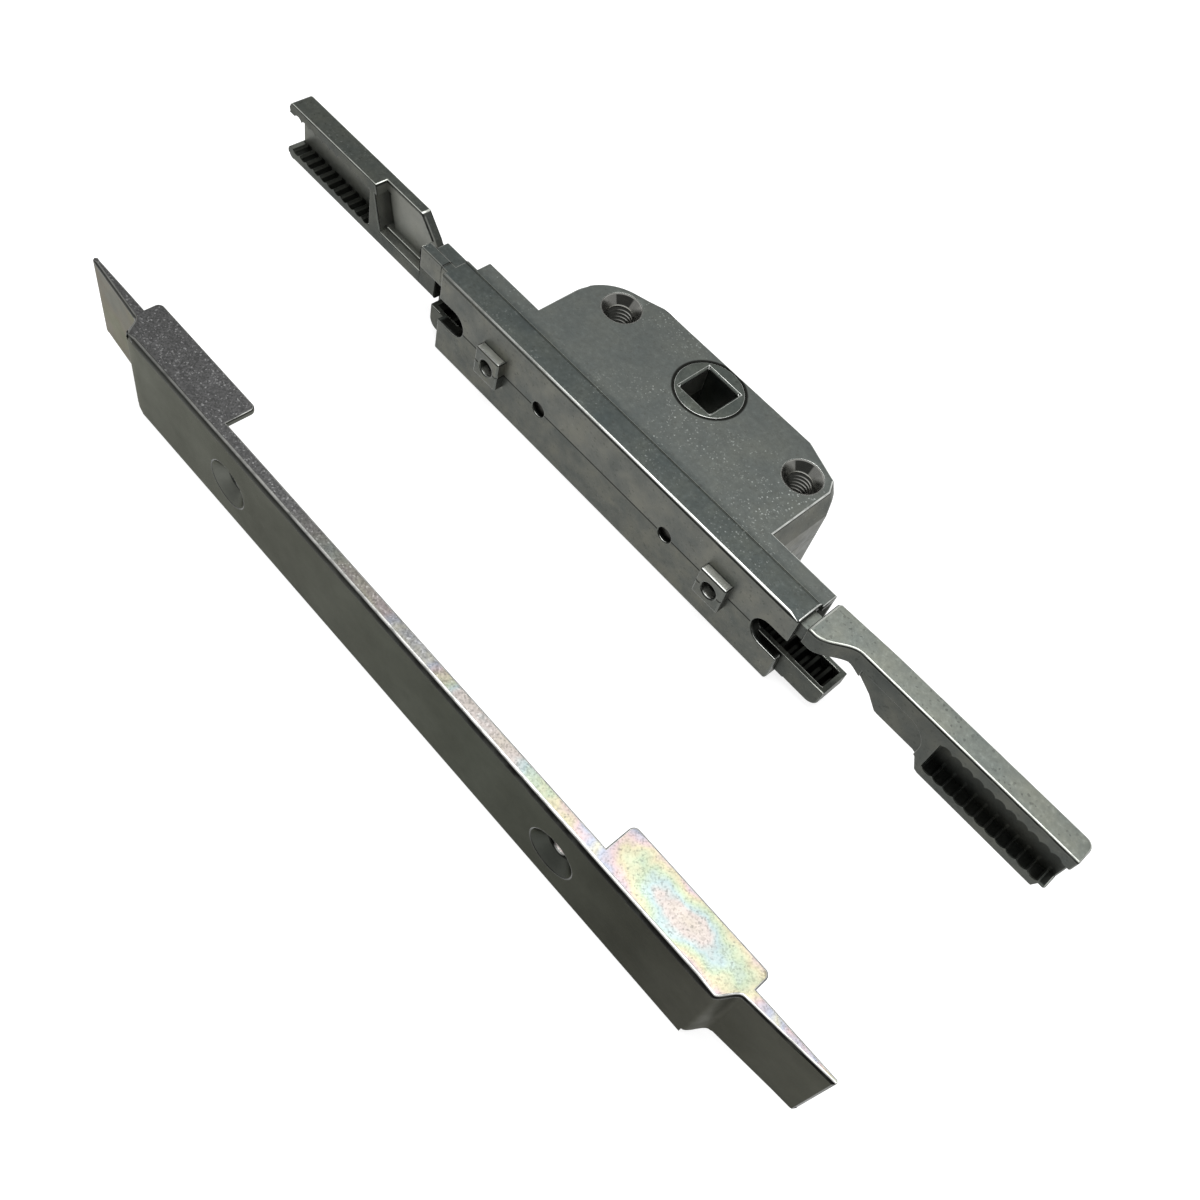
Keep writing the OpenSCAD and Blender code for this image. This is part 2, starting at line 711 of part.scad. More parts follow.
// Left arm: socket, post, pocket and sloping upper edge
module left_arm() {
    end_x = -left_reach;
    foot_z = -arm_h;
    foot_r = 1.4;
    head_r = 1;
    head_x = end_x + 1.65;
    web_x = end_x + 0.75;
    post_l = end_x + socket_len - 0.25;
    post_r = post_l + 1.4;
    post_foot = post_l + 3.2;
    pocket_r = lip_l - 2.9;
    pocket_z = -8.7;
    web_front = arm_front + 2;
    socket_back = arm_front + socket_deep;
    count = floor((post_l - web_x) / serration_pitch);
    difference() {
        along_y(left_front, left_back) {
            polygon([
                [head_x, 0], [web_x, -2 * head_r], [web_x, foot_z + 2 * foot_r], [end_x + foot_r, foot_z],
                [pocket_r + 1, foot_z], [pocket_r + 1, -lip_h - play - 0.2],
                [pocket_r + 0.3, -shoulder_h], [pocket_r - 3.3, 0]]);
            translate([head_x, -head_r]) circle(r = head_r);
            translate([end_x + foot_r, foot_z + foot_r]) circle(r = foot_r);
        }
        box([end_x - 1, left_front - 1, foot_z + foot_t + serration_deep - crest_flat],
            [post_l, socket_back, crest_flat - flange_t]);
        grooves(web_x + 2.4, count - 1, serration_deep - flange_t, 1, left_front, socket_back);
        grooves(web_x + 1.6, count, foot_z + foot_t, -1, left_front, socket_back);
        along_y(left_front - 1, web_front) polygon([
            [post_r, 1], [post_foot, pocket_z], [pocket_r, pocket_z], [pocket_r, 1]]);
        along_y(left_front - 1, web_front + 0.6) polygon([
            [post_r, -flange_t], [post_foot, pocket_z], [post_foot + 1.4, pocket_z],
            [post_r + 1.4, -flange_t]]);
        box([post_foot, left_front - 1, pocket_z - 0.6], [pocket_r, left_front + 1.5, pocket_z + eps]);
    }
}

// Pinion between the two racks, with a running bore
module reversing_pinion(x) {
    root = pinion_r - pinion_ded;
    tip = pinion_r + pinion_add;
    tooth_w = PI * pinion_module / 2 - backlash / 2;
    step = 360 / pinion_teeth;
    mid_y = (teeth_front + teeth_back) / 2;
    color(steel) difference() {
        translate([x, 0, pinion_z]) along_y(mid_y - pinion_w / 2, mid_y + pinion_w / 2)
            polygon([for (k = [0 : pinion_teeth - 1])
                each tooth(90 + k * step, root, tip, pinion_r, pinion_angle, tooth_w)]);
        bar_y(x, pinion_z, pin_r + running_play, tray_front, tray_back);
    }
}
module reversing_pinion_left() { reversing_pinion(pinion_x[0]); }
module reversing_pinion_right() { reversing_pinion(pinion_x[1]); }

// Pin of a reversing pinion, held at the parting line and on the post behind
module pinion_pin(x) {
    color(steel) bar_y(x, pinion_z, pin_r, pin_front, pin_back);
}
module pinion_pin_left() { pinion_pin(pinion_x[0]); }
module pinion_pin_right() { pinion_pin(pinion_x[1]); }

// Loose cover plate for the front of the sash
module cover_plate() {
    mid = casing_mid + cover_shift;
    ends = [mid - cover_len / 2, mid + cover_len / 2];
    sink = (cover_rim_d - cover_hole_d) / 2;
    color(plated) translate([0, front_y - cover_apart, 0]) difference() {
        union() {
            box([ends[0], 0, base_z], [ends[1], cover_t, 0]);
            cover_end(ends[0], 0);
            cover_end(ends[1], 1);
        }
        for (side = [-1, 1]) {
            x = mid - cover_hole_shift + side * cover_hole_pitch / 2;
            bar_y(x, cover_hole_z, cover_hole_d / 2, -1, cover_t + 1);
            translate([x, 0, cover_hole_z]) rotate([-90, 0, 0])
                translate([0, 0, -eps / 10]) cylinder(d1 = cover_rim_d, d2 = cover_hole_d, h = sink);
        }
        along_y(-1, cover_t + 1)
            polygon([[ends[0] - 1, base_z - 1], [ends[0] + 1.1, base_z - 1], [ends[0] + 1.1, base_z],
                     [ends[0], base_z + 1.3], [ends[0] - 1, base_z + 1.3]]);
    }
}

// One end of the cover, drawn for the right end and mirrored for the left one
module cover_end(x, k) {
    translate([x, 0, 0]) mirror([1 - k, 0, 0]) {
        wedge(wedge_lens[k], base_z + wedge_lift[k]);
        tab(tab_out[k]);
    }
}

// Wedge end of the cover: it steps back behind the face in a smooth joggle and thins towards
// its tip, where its lower corner is rounded
module wedge(len, low_z) {
    tip = joggle_run + len;
    r = 0.8;
    corner_x = tip + 0.3 - r;
    intersection() {
        upright(base_z, 0) polygon(concat(
            s_curve(0, joggle_run, 0, joggle_back, 10),
            [[tip, wedge_back - wedge_tip], [tip + 0.3, wedge_back - wedge_tip / 2],
             [tip, wedge_back], [joggle_run - 1.2, wedge_back], [-1.6, cover_t], [-1.6, 0]]));
        along_y(-1, wedge_back + 1) {
            polygon([[-2, 0], [joggle_run, -0.2], [tip + 1, -0.2], [tip + 1, low_z + r],
                     [corner_x, low_z + r], [corner_x, low_z], [0, low_z], [0, base_z], [-2, base_z]]);
            translate([corner_x, low_z + r]) circle(r = r);
        }
    }
}

// Tab on the upper edge, a thin plate that reaches back over the sash
module tab(out) {
    r = 1;
    inner = out - tab_len;
    upright(-tab_t, 0) {
        polygon([[out, joggle_back], [out, tab_reach - r], [out - r, tab_reach],
                 [inner + r, tab_reach], [inner, tab_reach - r], [inner, cover_t - eps],
                 [-0.2, cover_t - eps], [out - 1, joggle_back]]);
        for (x = [out - r, inner + r]) translate([x, tab_reach - r]) circle(r = r);
    }
}

upper_shell();
lower_shell();
threaded_bush_left();
threaded_bush_right();
spindle_gear();
right_slide();
left_slide();
reversing_pinion_left();
reversing_pinion_right();
pinion_pin_left();
pinion_pin_right();
cover_plate();
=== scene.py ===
# %% [markdown]
# # A window gearbox in cast zinc
# This lesson dresses an espagnolette gearbox: a flat casing with a bulge, a hub with a
# square socket, two steel bushes, two serrated arms and a loose cover plate. The solids
# come from the CAD side and fix every size. Here they get rounded edges, threads and
# the look of cast zinc, because a sharp flat-grey solid never looks like metal.

# %% Load the solids
import json
import math
import bmesh
import bpy
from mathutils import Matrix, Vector
from mathutils.bvhtree import BVHTree

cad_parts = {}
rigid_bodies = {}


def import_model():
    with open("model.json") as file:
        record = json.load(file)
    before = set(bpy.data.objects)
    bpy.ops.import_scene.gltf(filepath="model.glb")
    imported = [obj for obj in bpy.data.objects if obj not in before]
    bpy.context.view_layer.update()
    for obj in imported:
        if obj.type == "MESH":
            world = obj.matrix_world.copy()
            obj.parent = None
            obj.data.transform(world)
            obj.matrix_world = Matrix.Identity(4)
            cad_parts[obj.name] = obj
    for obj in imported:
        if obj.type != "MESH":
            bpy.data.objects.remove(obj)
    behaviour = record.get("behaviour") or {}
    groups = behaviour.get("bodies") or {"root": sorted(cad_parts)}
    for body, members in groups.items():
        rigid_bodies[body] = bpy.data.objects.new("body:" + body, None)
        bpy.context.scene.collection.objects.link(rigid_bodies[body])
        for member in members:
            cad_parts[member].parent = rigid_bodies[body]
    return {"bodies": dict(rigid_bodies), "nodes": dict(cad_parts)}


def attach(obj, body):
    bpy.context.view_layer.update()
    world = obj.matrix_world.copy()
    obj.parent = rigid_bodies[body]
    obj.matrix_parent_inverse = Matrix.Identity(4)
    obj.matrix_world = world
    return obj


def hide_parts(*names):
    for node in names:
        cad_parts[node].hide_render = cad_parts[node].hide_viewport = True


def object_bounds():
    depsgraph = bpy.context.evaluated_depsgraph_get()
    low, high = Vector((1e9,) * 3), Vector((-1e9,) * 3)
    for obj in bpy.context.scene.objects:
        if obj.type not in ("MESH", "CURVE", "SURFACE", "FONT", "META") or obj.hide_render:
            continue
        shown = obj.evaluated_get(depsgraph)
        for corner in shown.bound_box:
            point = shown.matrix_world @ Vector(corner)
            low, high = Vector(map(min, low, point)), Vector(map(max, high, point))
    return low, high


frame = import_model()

kept = set(frame["nodes"].values()) | set(frame["bodies"].values())
for leftover in [o for o in bpy.data.objects if o not in kept]:
    bpy.data.objects.remove(leftover)
cad_box = [list(corner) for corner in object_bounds()]
print("solids:", len(frame["nodes"]), "box in mm:",
      [[round(v * 1000, 1) for v in corner] for corner in cad_box])

# %% [markdown]
# ## Measures
# The dressed pieces must land exactly on the solids, so the few planes that the finishes
# and the edges refer to are named here once, in millimetres, in the same frame: X runs
# along the arms, -Y is the front of the sash and Z is up, with the spindle at zero.

# %% Planes of the gearbox
FRONT_Y = -20.75
STRIP_BACK_Y = -12.3
RIDGE_Y = -15.6
SEAM_Z = -8.8
BASE_Z = -17.8
CASING_X = (-43.95, 39.65)
SCREW_X = 21.5
PIN_X = (-17.57, 13.27)
COVER_Y = -69.75


def mm(*values):
    """Millimetres to metres, as one number or a tuple."""
    scaled = tuple(v * 0.001 for v in values)
    return scaled[0] if len(scaled) == 1 else scaled


print("casing from", CASING_X[0], "to", CASING_X[1], "mm")

# %% [markdown]
# ## The camera
# The photograph looks down on the gearbox from its right front corner. Its viewing
# angle was solved from the casing's straight edges, with the 43 mm between the two
# handle screws as the scale. A camera could also be placed by eye, but then no piece
# could be compared with the photograph to the pixel.

# %% Place the camera
PHOTO_WIDTH_PIXELS = 1200
LENS_PIXELS = 1256.36
camera_data = bpy.data.cameras.new("camera")
camera = bpy.data.objects.new("camera", camera_data)
bpy.context.collection.objects.link(camera)
camera.location = (0.0705646, -0.1282166, 0.1503218)
camera.rotation_euler = [math.radians(a) for a in (32.0385, -10.7686, 47.332)]
camera_data.sensor_width = 36
camera_data.lens = LENS_PIXELS / PHOTO_WIDTH_PIXELS * camera_data.sensor_width
camera_data.shift_x = -0.00228
camera_data.shift_y = 0.00123
camera_data.clip_start = 0.002
camera_data.clip_end = 20
bpy.context.scene.camera = camera
print("lens in mm:", round(camera_data.lens, 2))

# %% [markdown]
# ## The studio
# Metal shows what stands around it, so the room matters more than the lamps. The world is white for the
# camera and in reflections. A wide grey ceiling card hangs over the set, because a top face that mirrors
# only white turns flat and pale. One soft box hangs over the object. Flat tops look past it and stay
# dark, while every rounded upper edge and the cover's right tab mirror it. Highlights painted into the
# colour of those edges and of the tab add to that, and together they give the bright lines of the
# photograph.
# The card is hidden from the camera, so that a low view still sees a white background.

# %% Arithmetic between nodes


def sum_up(tree, how, first, second=0):
    """Arithmetic on two values; some kinds, such as SQRT, only look at the first."""
    n = tree.nodes.new("ShaderNodeMath")
    n.operation = how
    for socket, value in zip(n.inputs, (first, second)):
        if isinstance(value, (int, float)):
            socket.default_value = value
        else:
            tree.links.new(value, socket)
    return n.outputs[0]


print("arithmetic ready")

# %% World light
scene = bpy.context.scene
scene.view_settings.view_transform = "Standard"
world = bpy.data.worlds.new("studio")
scene.world = world
world.use_nodes = True
sky = world.node_tree
sky.nodes.clear()


def glow_from_all_sides(colour, strength):
    """An even light of one colour."""
    n = sky.nodes.new("ShaderNodeBackground")
    n.inputs["Color"].default_value = (*colour, 1)
    n.inputs["Strength"].default_value = strength
    return n.outputs[0]


rays = sky.nodes.new("ShaderNodeLightPath").outputs
seen = sum_up(sky, "MAXIMUM", rays["Is Camera Ray"], rays["Is Glossy Ray"])
seen = sum_up(sky, "MAXIMUM", seen, rays["Is Transmission Ray"])
both = sky.nodes.new("ShaderNodeMixShader")
out = sky.nodes.new("ShaderNodeOutputWorld")
sky.links.new(seen, both.inputs[0])
sky.links.new(glow_from_all_sides((0.95, 0.97, 1.0), 0.6), both.inputs[1])
sky.links.new(glow_from_all_sides((1, 1, 1), 1.0), both.inputs[2])
sky.links.new(both.outputs[0], out.inputs["Surface"])
print("world: white for the camera and in reflections, 0.6 as fill")

# %% Floor, ceiling card and soft box
floor_z = cad_box[0][2]


def card(name, size, height, colour, glow):
    """A large square card, marked as stage, with a weak light of its own."""
    bpy.ops.object.select_all(action="DESELECT")
    bpy.ops.mesh.primitive_plane_add(size=size, location=(0, 0, height))
    made = bpy.context.object
    made.name = name
    paint = bpy.data.materials.new(name)
    paint.use_nodes = True
    shader = paint.node_tree.nodes["Principled BSDF"]
    shader.inputs["Base Color"].default_value = (*colour, 1)
    shader.inputs["Roughness"].default_value = 0.9
    shader.inputs["Specular IOR Level"].default_value = 0.0
    shader.inputs["Emission Color"].default_value = (1, 1, 1, 1)
    shader.inputs["Emission Strength"].default_value = glow
    made.data.materials.append(paint)
    return made


def soft_lamp(name, place, aim, size, power):
    """A square soft lamp at a place, turned towards a point."""
    data = bpy.data.lights.new(name, "AREA")
    data.shape = "SQUARE"
    data.size = size
    data.energy = power
    lamp = bpy.data.objects.new(name, data)
    lamp.location = place
    lamp.rotation_mode = "QUATERNION"
    lamp.rotation_quaternion = (Vector(aim) - Vector(place)).to_track_quat("-Z", "Y")
    bpy.context.collection.objects.link(lamp)


card("floor", 6.0, floor_z - 0.0001, (0.5, 0.5, 0.5), 0.78)
ceiling = card("ceiling", 8.0, 1.2, (0.25, 0.25, 0.25), 0.45)
ceiling.visible_camera = False
soft_lamp("soft_box", (-0.01, 0.02, 0.45), (0.0, -0.03, 0), 0.36, 1.15)
print("floor at", round(floor_z * 1000, 2), "mm, one soft box")

# %% [markdown]
# ## Finishes
# Die-cast zinc isn't an even grey. It cools against the mould in small crystals, so its
# surface has a fine speckle, cloudy patches and a skin that is smoother where the mould
# was polished. Each finish below is built from noise at those three sizes: clouds for
# the tone, cells for the crystals and a fine grain for the bump. A photograph could be
# pasted on instead, but it would stretch on the edges and repeat.

# %% Node helpers


def start_finish(name):
    """A new material and its shader, with the object's own coordinates ready."""
    finish = bpy.data.materials.new(name)
    finish.use_nodes = True
    tree = finish.node_tree
    place = tree.nodes.new("ShaderNodeTexCoord")
    return finish, tree, tree.nodes["Principled BSDF"], place.outputs["Object"]


def clouds(tree, place, scale, detail=3.0, roughness=0.55):
    """Soft noise; scale counts the clouds in a metre."""
    n = tree.nodes.new("ShaderNodeTexNoise")
    n.inputs["Scale"].default_value = scale
    n.inputs["Detail"].default_value = detail
    n.inputs["Roughness"].default_value = roughness
    tree.links.new(place, n.inputs["Vector"])
    return n.outputs["Fac"]


def crystals(tree, place, scale):
    """Cells with a random grey each, like grains of zinc."""
    n = tree.nodes.new("ShaderNodeTexVoronoi")
    n.inputs["Scale"].default_value = scale
    tree.links.new(place, n.inputs["Vector"])
    grey = tree.nodes.new("ShaderNodeSeparateColor")
    tree.links.new(n.outputs["Color"], grey.inputs[0])
    return grey.outputs[0]


def ramp(tree, value, stops):
    """A colour ramp; each stop is a place and a colour or a grey."""
    n = tree.nodes.new("ShaderNodeValToRGB")
    bar = n.color_ramp
    while len(bar.elements) < len(stops):
        bar.elements.new(0.5)
    for element, (where, tone) in zip(bar.elements, stops):
        element.position = where
        element.color = (*tone, 1) if isinstance(tone, tuple) else (tone, tone, tone, 1)
    tree.links.new(value, n.inputs["Fac"])
    return n.outputs["Color"]


def blend_colours(tree, how, amount, first, second):
    """Mixes two colours; amount is a number or another socket."""
    n = tree.nodes.new("ShaderNodeMix")
    n.data_type = "RGBA"
    n.blend_type = how
    n.clamp_result = True
    if isinstance(amount, (int, float)):
        n.inputs[0].default_value = amount
    else:
        tree.links.new(amount, n.inputs[0])
    for socket, colour in ((n.inputs[6], first), (n.inputs[7], second)):
        if isinstance(colour, tuple):
            socket.default_value = (*colour, 1)
        else:
            tree.links.new(colour, socket)
    return n.outputs[2]


def times(tree, first, second):
    """The product of two values, such as a mask and its strength."""
    return sum_up(tree, "MULTIPLY", first, second)


def how_far(tree, along, across):
    """The distance from the middle, from the steps along and across."""
    squares = sum_up(tree, "ADD", times(tree, along, along), times(tree, across, across))
    return sum_up(tree, "SQRT", squares)


def spread(tree, value, low, high, to_low=0.0, to_high=1.0):
    """Stretches a value from one range to another and clips it there."""
    n = tree.nodes.new("ShaderNodeMapRange")
    n.inputs["From Min"].default_value = low
    n.inputs["From Max"].default_value = high
    n.inputs["To Min"].default_value = to_low
    n.inputs["To Max"].default_value = to_high
    tree.links.new(value, n.inputs["Value"])
    return n.outputs[0]


def polish(tree, shader, place, scale, smoothest, roughest):
    """A roughness that wanders between two values in soft clouds."""
    rough = ramp(tree, clouds(tree, place, scale, 2), [(0.3, smoothest), (0.7, roughest)])
    tree.links.new(rough, shader.inputs["Roughness"])


def relief(tree, shader, height, depth, strength):
    """Turns a height into bumps of a depth in metres."""
    n = tree.nodes.new("ShaderNodeBump")
    n.inputs["Strength"].default_value = strength
    n.inputs["Distance"].default_value = depth
    tree.links.new(height, n.inputs["Height"])
    tree.links.new(n.outputs["Normal"], shader.inputs["Normal"])


def split(tree, vector):
    """The three parts of a place or a direction."""
    n = tree.nodes.new("ShaderNodeSeparateXYZ")
    tree.links.new(vector, n.inputs[0])
    return n.outputs


def rightwards(tree, place, start, end, at_start=0.0, at_end=1.0):
    """Fades from one value to another along the arms, between two places in mm."""
    return spread(tree, split(tree, place)[0], mm(start), mm(end), at_start, at_end)


def facing(tree):
    """The surface's own direction; Z is 1 on tops and 0 on walls."""
    n = tree.nodes.new("ShaderNodeTexCoord")
    return split(tree, n.outputs["Normal"])


def faces_up(tree, low=0.6, high=0.9):
    """1 on faces that look up, 0 on walls."""
    return spread(tree, facing(tree)[2], low, high)


print("helpers ready")

# %% [markdown]
# ## Where the painted shade sits
# Shade is painted on as dark colour where it falls: in the seam between the shells, in the ring around
# the hub, inside the slots and on the greased racks. A mask for each place is built from the distance to
# a box or to a circle. Painting such a mask on the mesh by hand would work too, but a box stays right
# when a size of the solid changes.

# %% Masks for boxes and rings


def most(tree, masks):
    """The strongest of several masks at each point."""
    top = masks[0]
    for mask in masks[1:]:
        top = sum_up(tree, "MAXIMUM", top, mask)
    return top


def inside_box(tree, place, low, high, soft=0.1):
    """1 inside a box given by two corners in mm, fading to 0 over a soft border."""
    middle = [(a + b) / 2 for a, b in zip(low, high)]
    half = [(b - a) / 2 for a, b in zip(low, high)]
    flow = place
    for how, other in (("SUBTRACT", middle), ("ABSOLUTE", None), ("SUBTRACT", half)):
        n = tree.nodes.new("ShaderNodeVectorMath")
        n.operation = how
        tree.links.new(flow, n.inputs[0])
        if other:
            n.inputs[1].default_value = mm(*other)
        flow = n.outputs[0]
    x, y, z = split(tree, flow)
    return spread(tree, most(tree, [x, y, z]), -mm(soft), 0.0, 1.0, 0.0)


def ring_around(tree, place, radius, width):
    """1 on a circle around the spindle's axis, fading to 0 at a width, all in mm."""
    x, y = split(tree, place)[:2]
    gap = sum_up(tree, "SUBTRACT", how_far(tree, x, y), mm(radius))
    return spread(tree, sum_up(tree, "ABSOLUTE", gap), mm(width) * 0.5, mm(width), 1.0, 0.0)


print("masks ready")

# %% [markdown]
# ## Cast zinc
# One recipe makes the casing, the hub and both slides. The walls and the tops get a tone of their own, as
# lit and shaded copies of one zinc: each top is painted lighter or darker than its walls by how the light
# falls, much lighter on the right slide, and the casing's tops are also frosted. Painted glints, bright
# crystals in patches, stand strongest on the tops. The masks of painted shade come last.

# %% Cast zinc recipe


def mottled(tree, place, tone, spread_by, scale):
    """A cloudy tone around a colour, cooler where dark and warmer where light."""
    dark = tuple(v * (1 - spread_by) for v in (tone[0] * 0.96, tone[1], tone[2] * 1.04))
    light = tuple(v * (1 + spread_by) for v in (tone[0] * 1.03, tone[1], tone[2] * 0.95))
    return ramp(tree, clouds(tree, place, scale, 5, 0.6), [(0.33, dark), (0.5, tone), (0.67, light)])


def cast_zinc_finish(name, wall, top, painted_sparkle, gloss, painted_shade, low_wall=None, wear_and_painted_light=None):
    """Cast zinc; two masks paint shade dark and lighten with wear and painted light, low_wall is the tone
    of walls below the seam.
    """
    finish, tree, shader, place = start_finish(name)
    # The wall tone and the top tone are lit and shaded copies of one zinc: tops are painted lighter or
    # darker than walls by how the light falls on them.
    walls = mottled(tree, place, wall, 0.2, 160)
    if low_wall:
        lower = mottled(tree, place, low_wall, 0.2, 260)
        below = spread(tree, split(tree, place)[2], mm(SEAM_Z) - 0.0001, mm(SEAM_Z), 1.0, 0.0)
        walls = blend_colours(tree, "MIX", below, walls, lower)
    tops = mottled(tree, place, top, 0.12, 110)
    frost = ramp(tree, clouds(tree, place, 1100, 3, 0.6), [(0.4, 0.86), (0.6, 1.0), (0.7, 1.18)])
    tops = blend_colours(tree, "MULTIPLY", 1.0, tops, frost)
    up = faces_up(tree)
    colour = blend_colours(tree, "MIX", up, walls, tops)
    # Painted glints: bright zinc crystals gathered in patches, painted lighter, most on the tops.
    grains = crystals(tree, place, 4600)
    patches = spread(tree, clouds(tree, place, 60, 3), 0.47, 0.66)
    painted_glint = times(tree, spread(tree, grains, 0.93, 1.0, 0.0, painted_sparkle), patches)
    painted_glint = times(tree, painted_glint, spread(tree, up, 0.0, 1.0, 0.2, 1.0))
    colour = blend_colours(tree, "MIX", painted_glint, colour, (0.45, 0.48, 0.46))
    pits = spread(tree, crystals(tree, place, 2900), 0.92, 1.0, 0.0, 0.45)
    colour = blend_colours(tree, "MIX", pits, colour, tuple(0.45 * v for v in wall))
    # Lighter where the mask of wear and painted light says.
    if wear_and_painted_light:
        colour = blend_colours(tree, "ADD", wear_and_painted_light(tree, place), colour, (0.5, 0.5, 0.455))
    # Painted shade: near black where the shade mask says.
    colour = blend_colours(tree, "MIX", painted_shade(tree, place), colour, (0.012, 0.013, 0.011))
    tree.links.new(colour, shader.inputs["Base Color"])
    shader.inputs["Metallic"].default_value = 0.92
    shader.inputs["Specular Tint"].default_value = (0.75, 0.75, 0.74, 1)
    polish(tree, shader, place, 500, gloss, gloss + 0.12)
    height = sum_up(tree, "ADD", clouds(tree, place, 1500, 2), times(tree, grains, 0.4))
    relief(tree, shader, height, 0.00002, 0.6)
    return finish


def painted_light_edge_finish(name, tone, bright, dark, gloss, fade=None, lit=0.8):
    """Rounded edges: a painted highlight where Z is above lit, a painted dark reflection below it, plain
    on walls.
    """
    finish, tree, shader, place = start_finish(name)
    colours = ramp(tree, facing(tree)[2], [
        (0.08, tone), (0.24, dark), (lit - 0.1, dark), (lit, bright), (0.985, bright), (1.0, tone)])
    plain = mottled(tree, place, tone, 0.12, 300)
    # Clouds break up the painted highlight and the painted dark band; fade makes them stronger in places.
    painted_light_and_wear = spread(tree, clouds(tree, place, 420, 3), 0.25, 0.55, 0.35, 1.0)
    if fade:
        painted_light_and_wear = times(tree, painted_light_and_wear, fade(tree, place))
    colour = blend_colours(tree, "MIX", painted_light_and_wear, plain, colours)
    tree.links.new(colour, shader.inputs["Base Color"])
    shader.inputs["Metallic"].default_value = 0.95
    polish(tree, shader, place, 600, gloss, gloss + 0.08)
    relief(tree, shader, clouds(tree, place, 1500, 2), 0.000008, 0.5)
    return finish


print("recipes ready")

# %% [markdown]
# ## Painted shade, painted light and wear of each casting
# Each casting has places of its own that are painted dark as shade, painted light or rubbed blank. The
# casing is painted dark in its seam and lighter on its bulge, the spindle polishes the hub's socket, and
# the arms are painted dark in the grooves of their serrated sockets, with lighter worn crests. One mask
# for all three pieces would be shorter, but then dark would turn up where no part shades it.

# %% Painted shade, painted light and wear of the casing and the hub


def casing_painted_shade(tree, place):
    """Painted shade: in the gap of the seam, in the ring gap around the hub, inside the strip, at the
    foot of the step and on the bulge's right flank.
    """
    seam = inside_box(tree, place, (-60, -25, SEAM_Z - 0.2), (60, 10, SEAM_Z + 0.16), 0.06)
    deep = inside_box(tree, place, (CASING_X[0] + 0.3, FRONT_Y + 0.1, BASE_Z + 0.1),
                      (CASING_X[1] - 0.3, STRIP_BACK_Y - 0.05, -0.3), 0.5)
    ring = ring_around(tree, place, 6.15, 0.5)
    step = inside_box(tree, place, (-60, RIDGE_Y - 0.32, -0.3), (39.2, RIDGE_Y - 0.08, 0.1), 0.08)
    flank = inside_box(tree, place, (24, -15.3, -8.7), (45, 8, -0.3), 1.0)
    return most(tree, [seam, deep, ring, times(tree, step, 0.45), times(tree, flank, 0.18)])


def casing_painted_light(tree, place):
    """Painted light: the lug tops lighter where they would mirror the dark wall above them, a painted
    highlight along the step of the strip, and the bulge's tops a little lighter.
    """
    bulge = inside_box(tree, place, (-60, RIDGE_Y, -5), (60, 20, 5), 1.2)
    lugs = inside_box(tree, place, (-60, FRONT_Y - 5, -12), (60, FRONT_Y - 0.05, -5), 0.1)
    tops = times(tree, most(tree, [times(tree, bulge, 0.09), lugs]), faces_up(tree))
    step = inside_box(tree, place, (-60, RIDGE_Y - 0.08, -0.3), (39.2, RIDGE_Y + 0.12, 0.1), 0.06)
    return most(tree, [tops, times(tree, step, 0.2)])


def hub_painted_shade(tree, place):
    """Painted shade on the walls of the square socket and in the ring gap around the hub."""
    socket = inside_box(tree, place, (-3.55, -3.55, -20), (3.55, 3.55, -0.35), 0.05)
    return most(tree, [times(tree, socket, 0.3), ring_around(tree, place, 6.05, 0.22)])


def hub_wear(tree, place):
    """The spindle rubs the upper part of the socket's left wall blank."""
    rubbed = inside_box(tree, place, (-3.6, -3.6, -5.5), (-3.4, 3.6, -0.35), 0.05)
    return times(tree, rubbed, 0.5)


print("dirt and wear of the casing and the hub ready")

# %% Painted shade, painted light and wear of the slides
SERRATION_PITCH = 2.06


def crests(tree, place, x0, width, low, high):
    """1 on the crests of a row of serrations inside a box, the first crest at x0."""
    beside = sum_up(tree, "SUBTRACT", split(tree, place)[0], mm(x0))
    away = sum_up(tree, "PINGPONG", beside, mm(SERRATION_PITCH / 2))
    near = spread(tree, away, mm(width / 2), mm(width / 2 + 0.14), 1.0, 0.0)
    return times(tree, near, inside_box(tree, place, low, high, 0.1))


def right_crests(tree, place):
    """The crests of the right socket's lower row, worn and kept lighter as a painted highlight."""
    return crests(tree, place, 66.256, 0.3, (66.3, -16.95, -11.6), (91, -14.1, -8.6))


def right_slide_painted_shade(tree, place):
    """Painted shade on the greased rack inside the casing and in the serrations, less on their lit
    crests.
    """
    rack = inside_box(tree, place, (-50, -25, -8), (CASING_X[1] - 0.5, 5, 0), 0.5)
    socket = inside_box(tree, place, (66.1, -16.85, -11.7), (95, -14.0, -0.9), 0.35)
    wear_and_painted_light = times(tree, right_crests(tree, place), 0.75)
    grooves = sum_up(tree, "SUBTRACT", times(tree, socket, 0.84), wear_and_painted_light)
    return most(tree, [rack, grooves, 0])


def left_slide_wear(tree, place):
    """The pocket of the left arm is blank, and hands keep the ledges of its socket bright."""
    pocket = inside_box(tree, place, (-67.5, -17.3, -12), (-49, -14.2, -0.4), 0.2)
    ledges = inside_box(tree, place, (-91.9, -17.3, -12), (-68.2, -13.9, -1), 0.1)
    return most(tree, [times(tree, pocket, 0.27), times(tree, ledges, 0.12)])


def left_slide_painted_shade(tree, place):
    """Painted shade in the tray and between the lighter crests of the lower serrations."""
    tray = inside_box(tree, place, (-46.7, -18.3, -15.95), (47.5, -14.1, -11.25), 0.05)
    row = (-90.7, -17.3, -11), (-68.1, -13.9, -9.6)
    wear_and_painted_light = crests(tree, place, -90.68, 0.75, *row)
    grooves = sum_up(tree, "SUBTRACT", inside_box(tree, place, *row, 0.05), wear_and_painted_light)
    return most(tree, [tray, times(tree, grooves, 0.9), 0])


print("dirt and wear of the slides ready")

# %% Cast zinc of each piece
EDGE_TONE = (0.10, 0.105, 0.095)
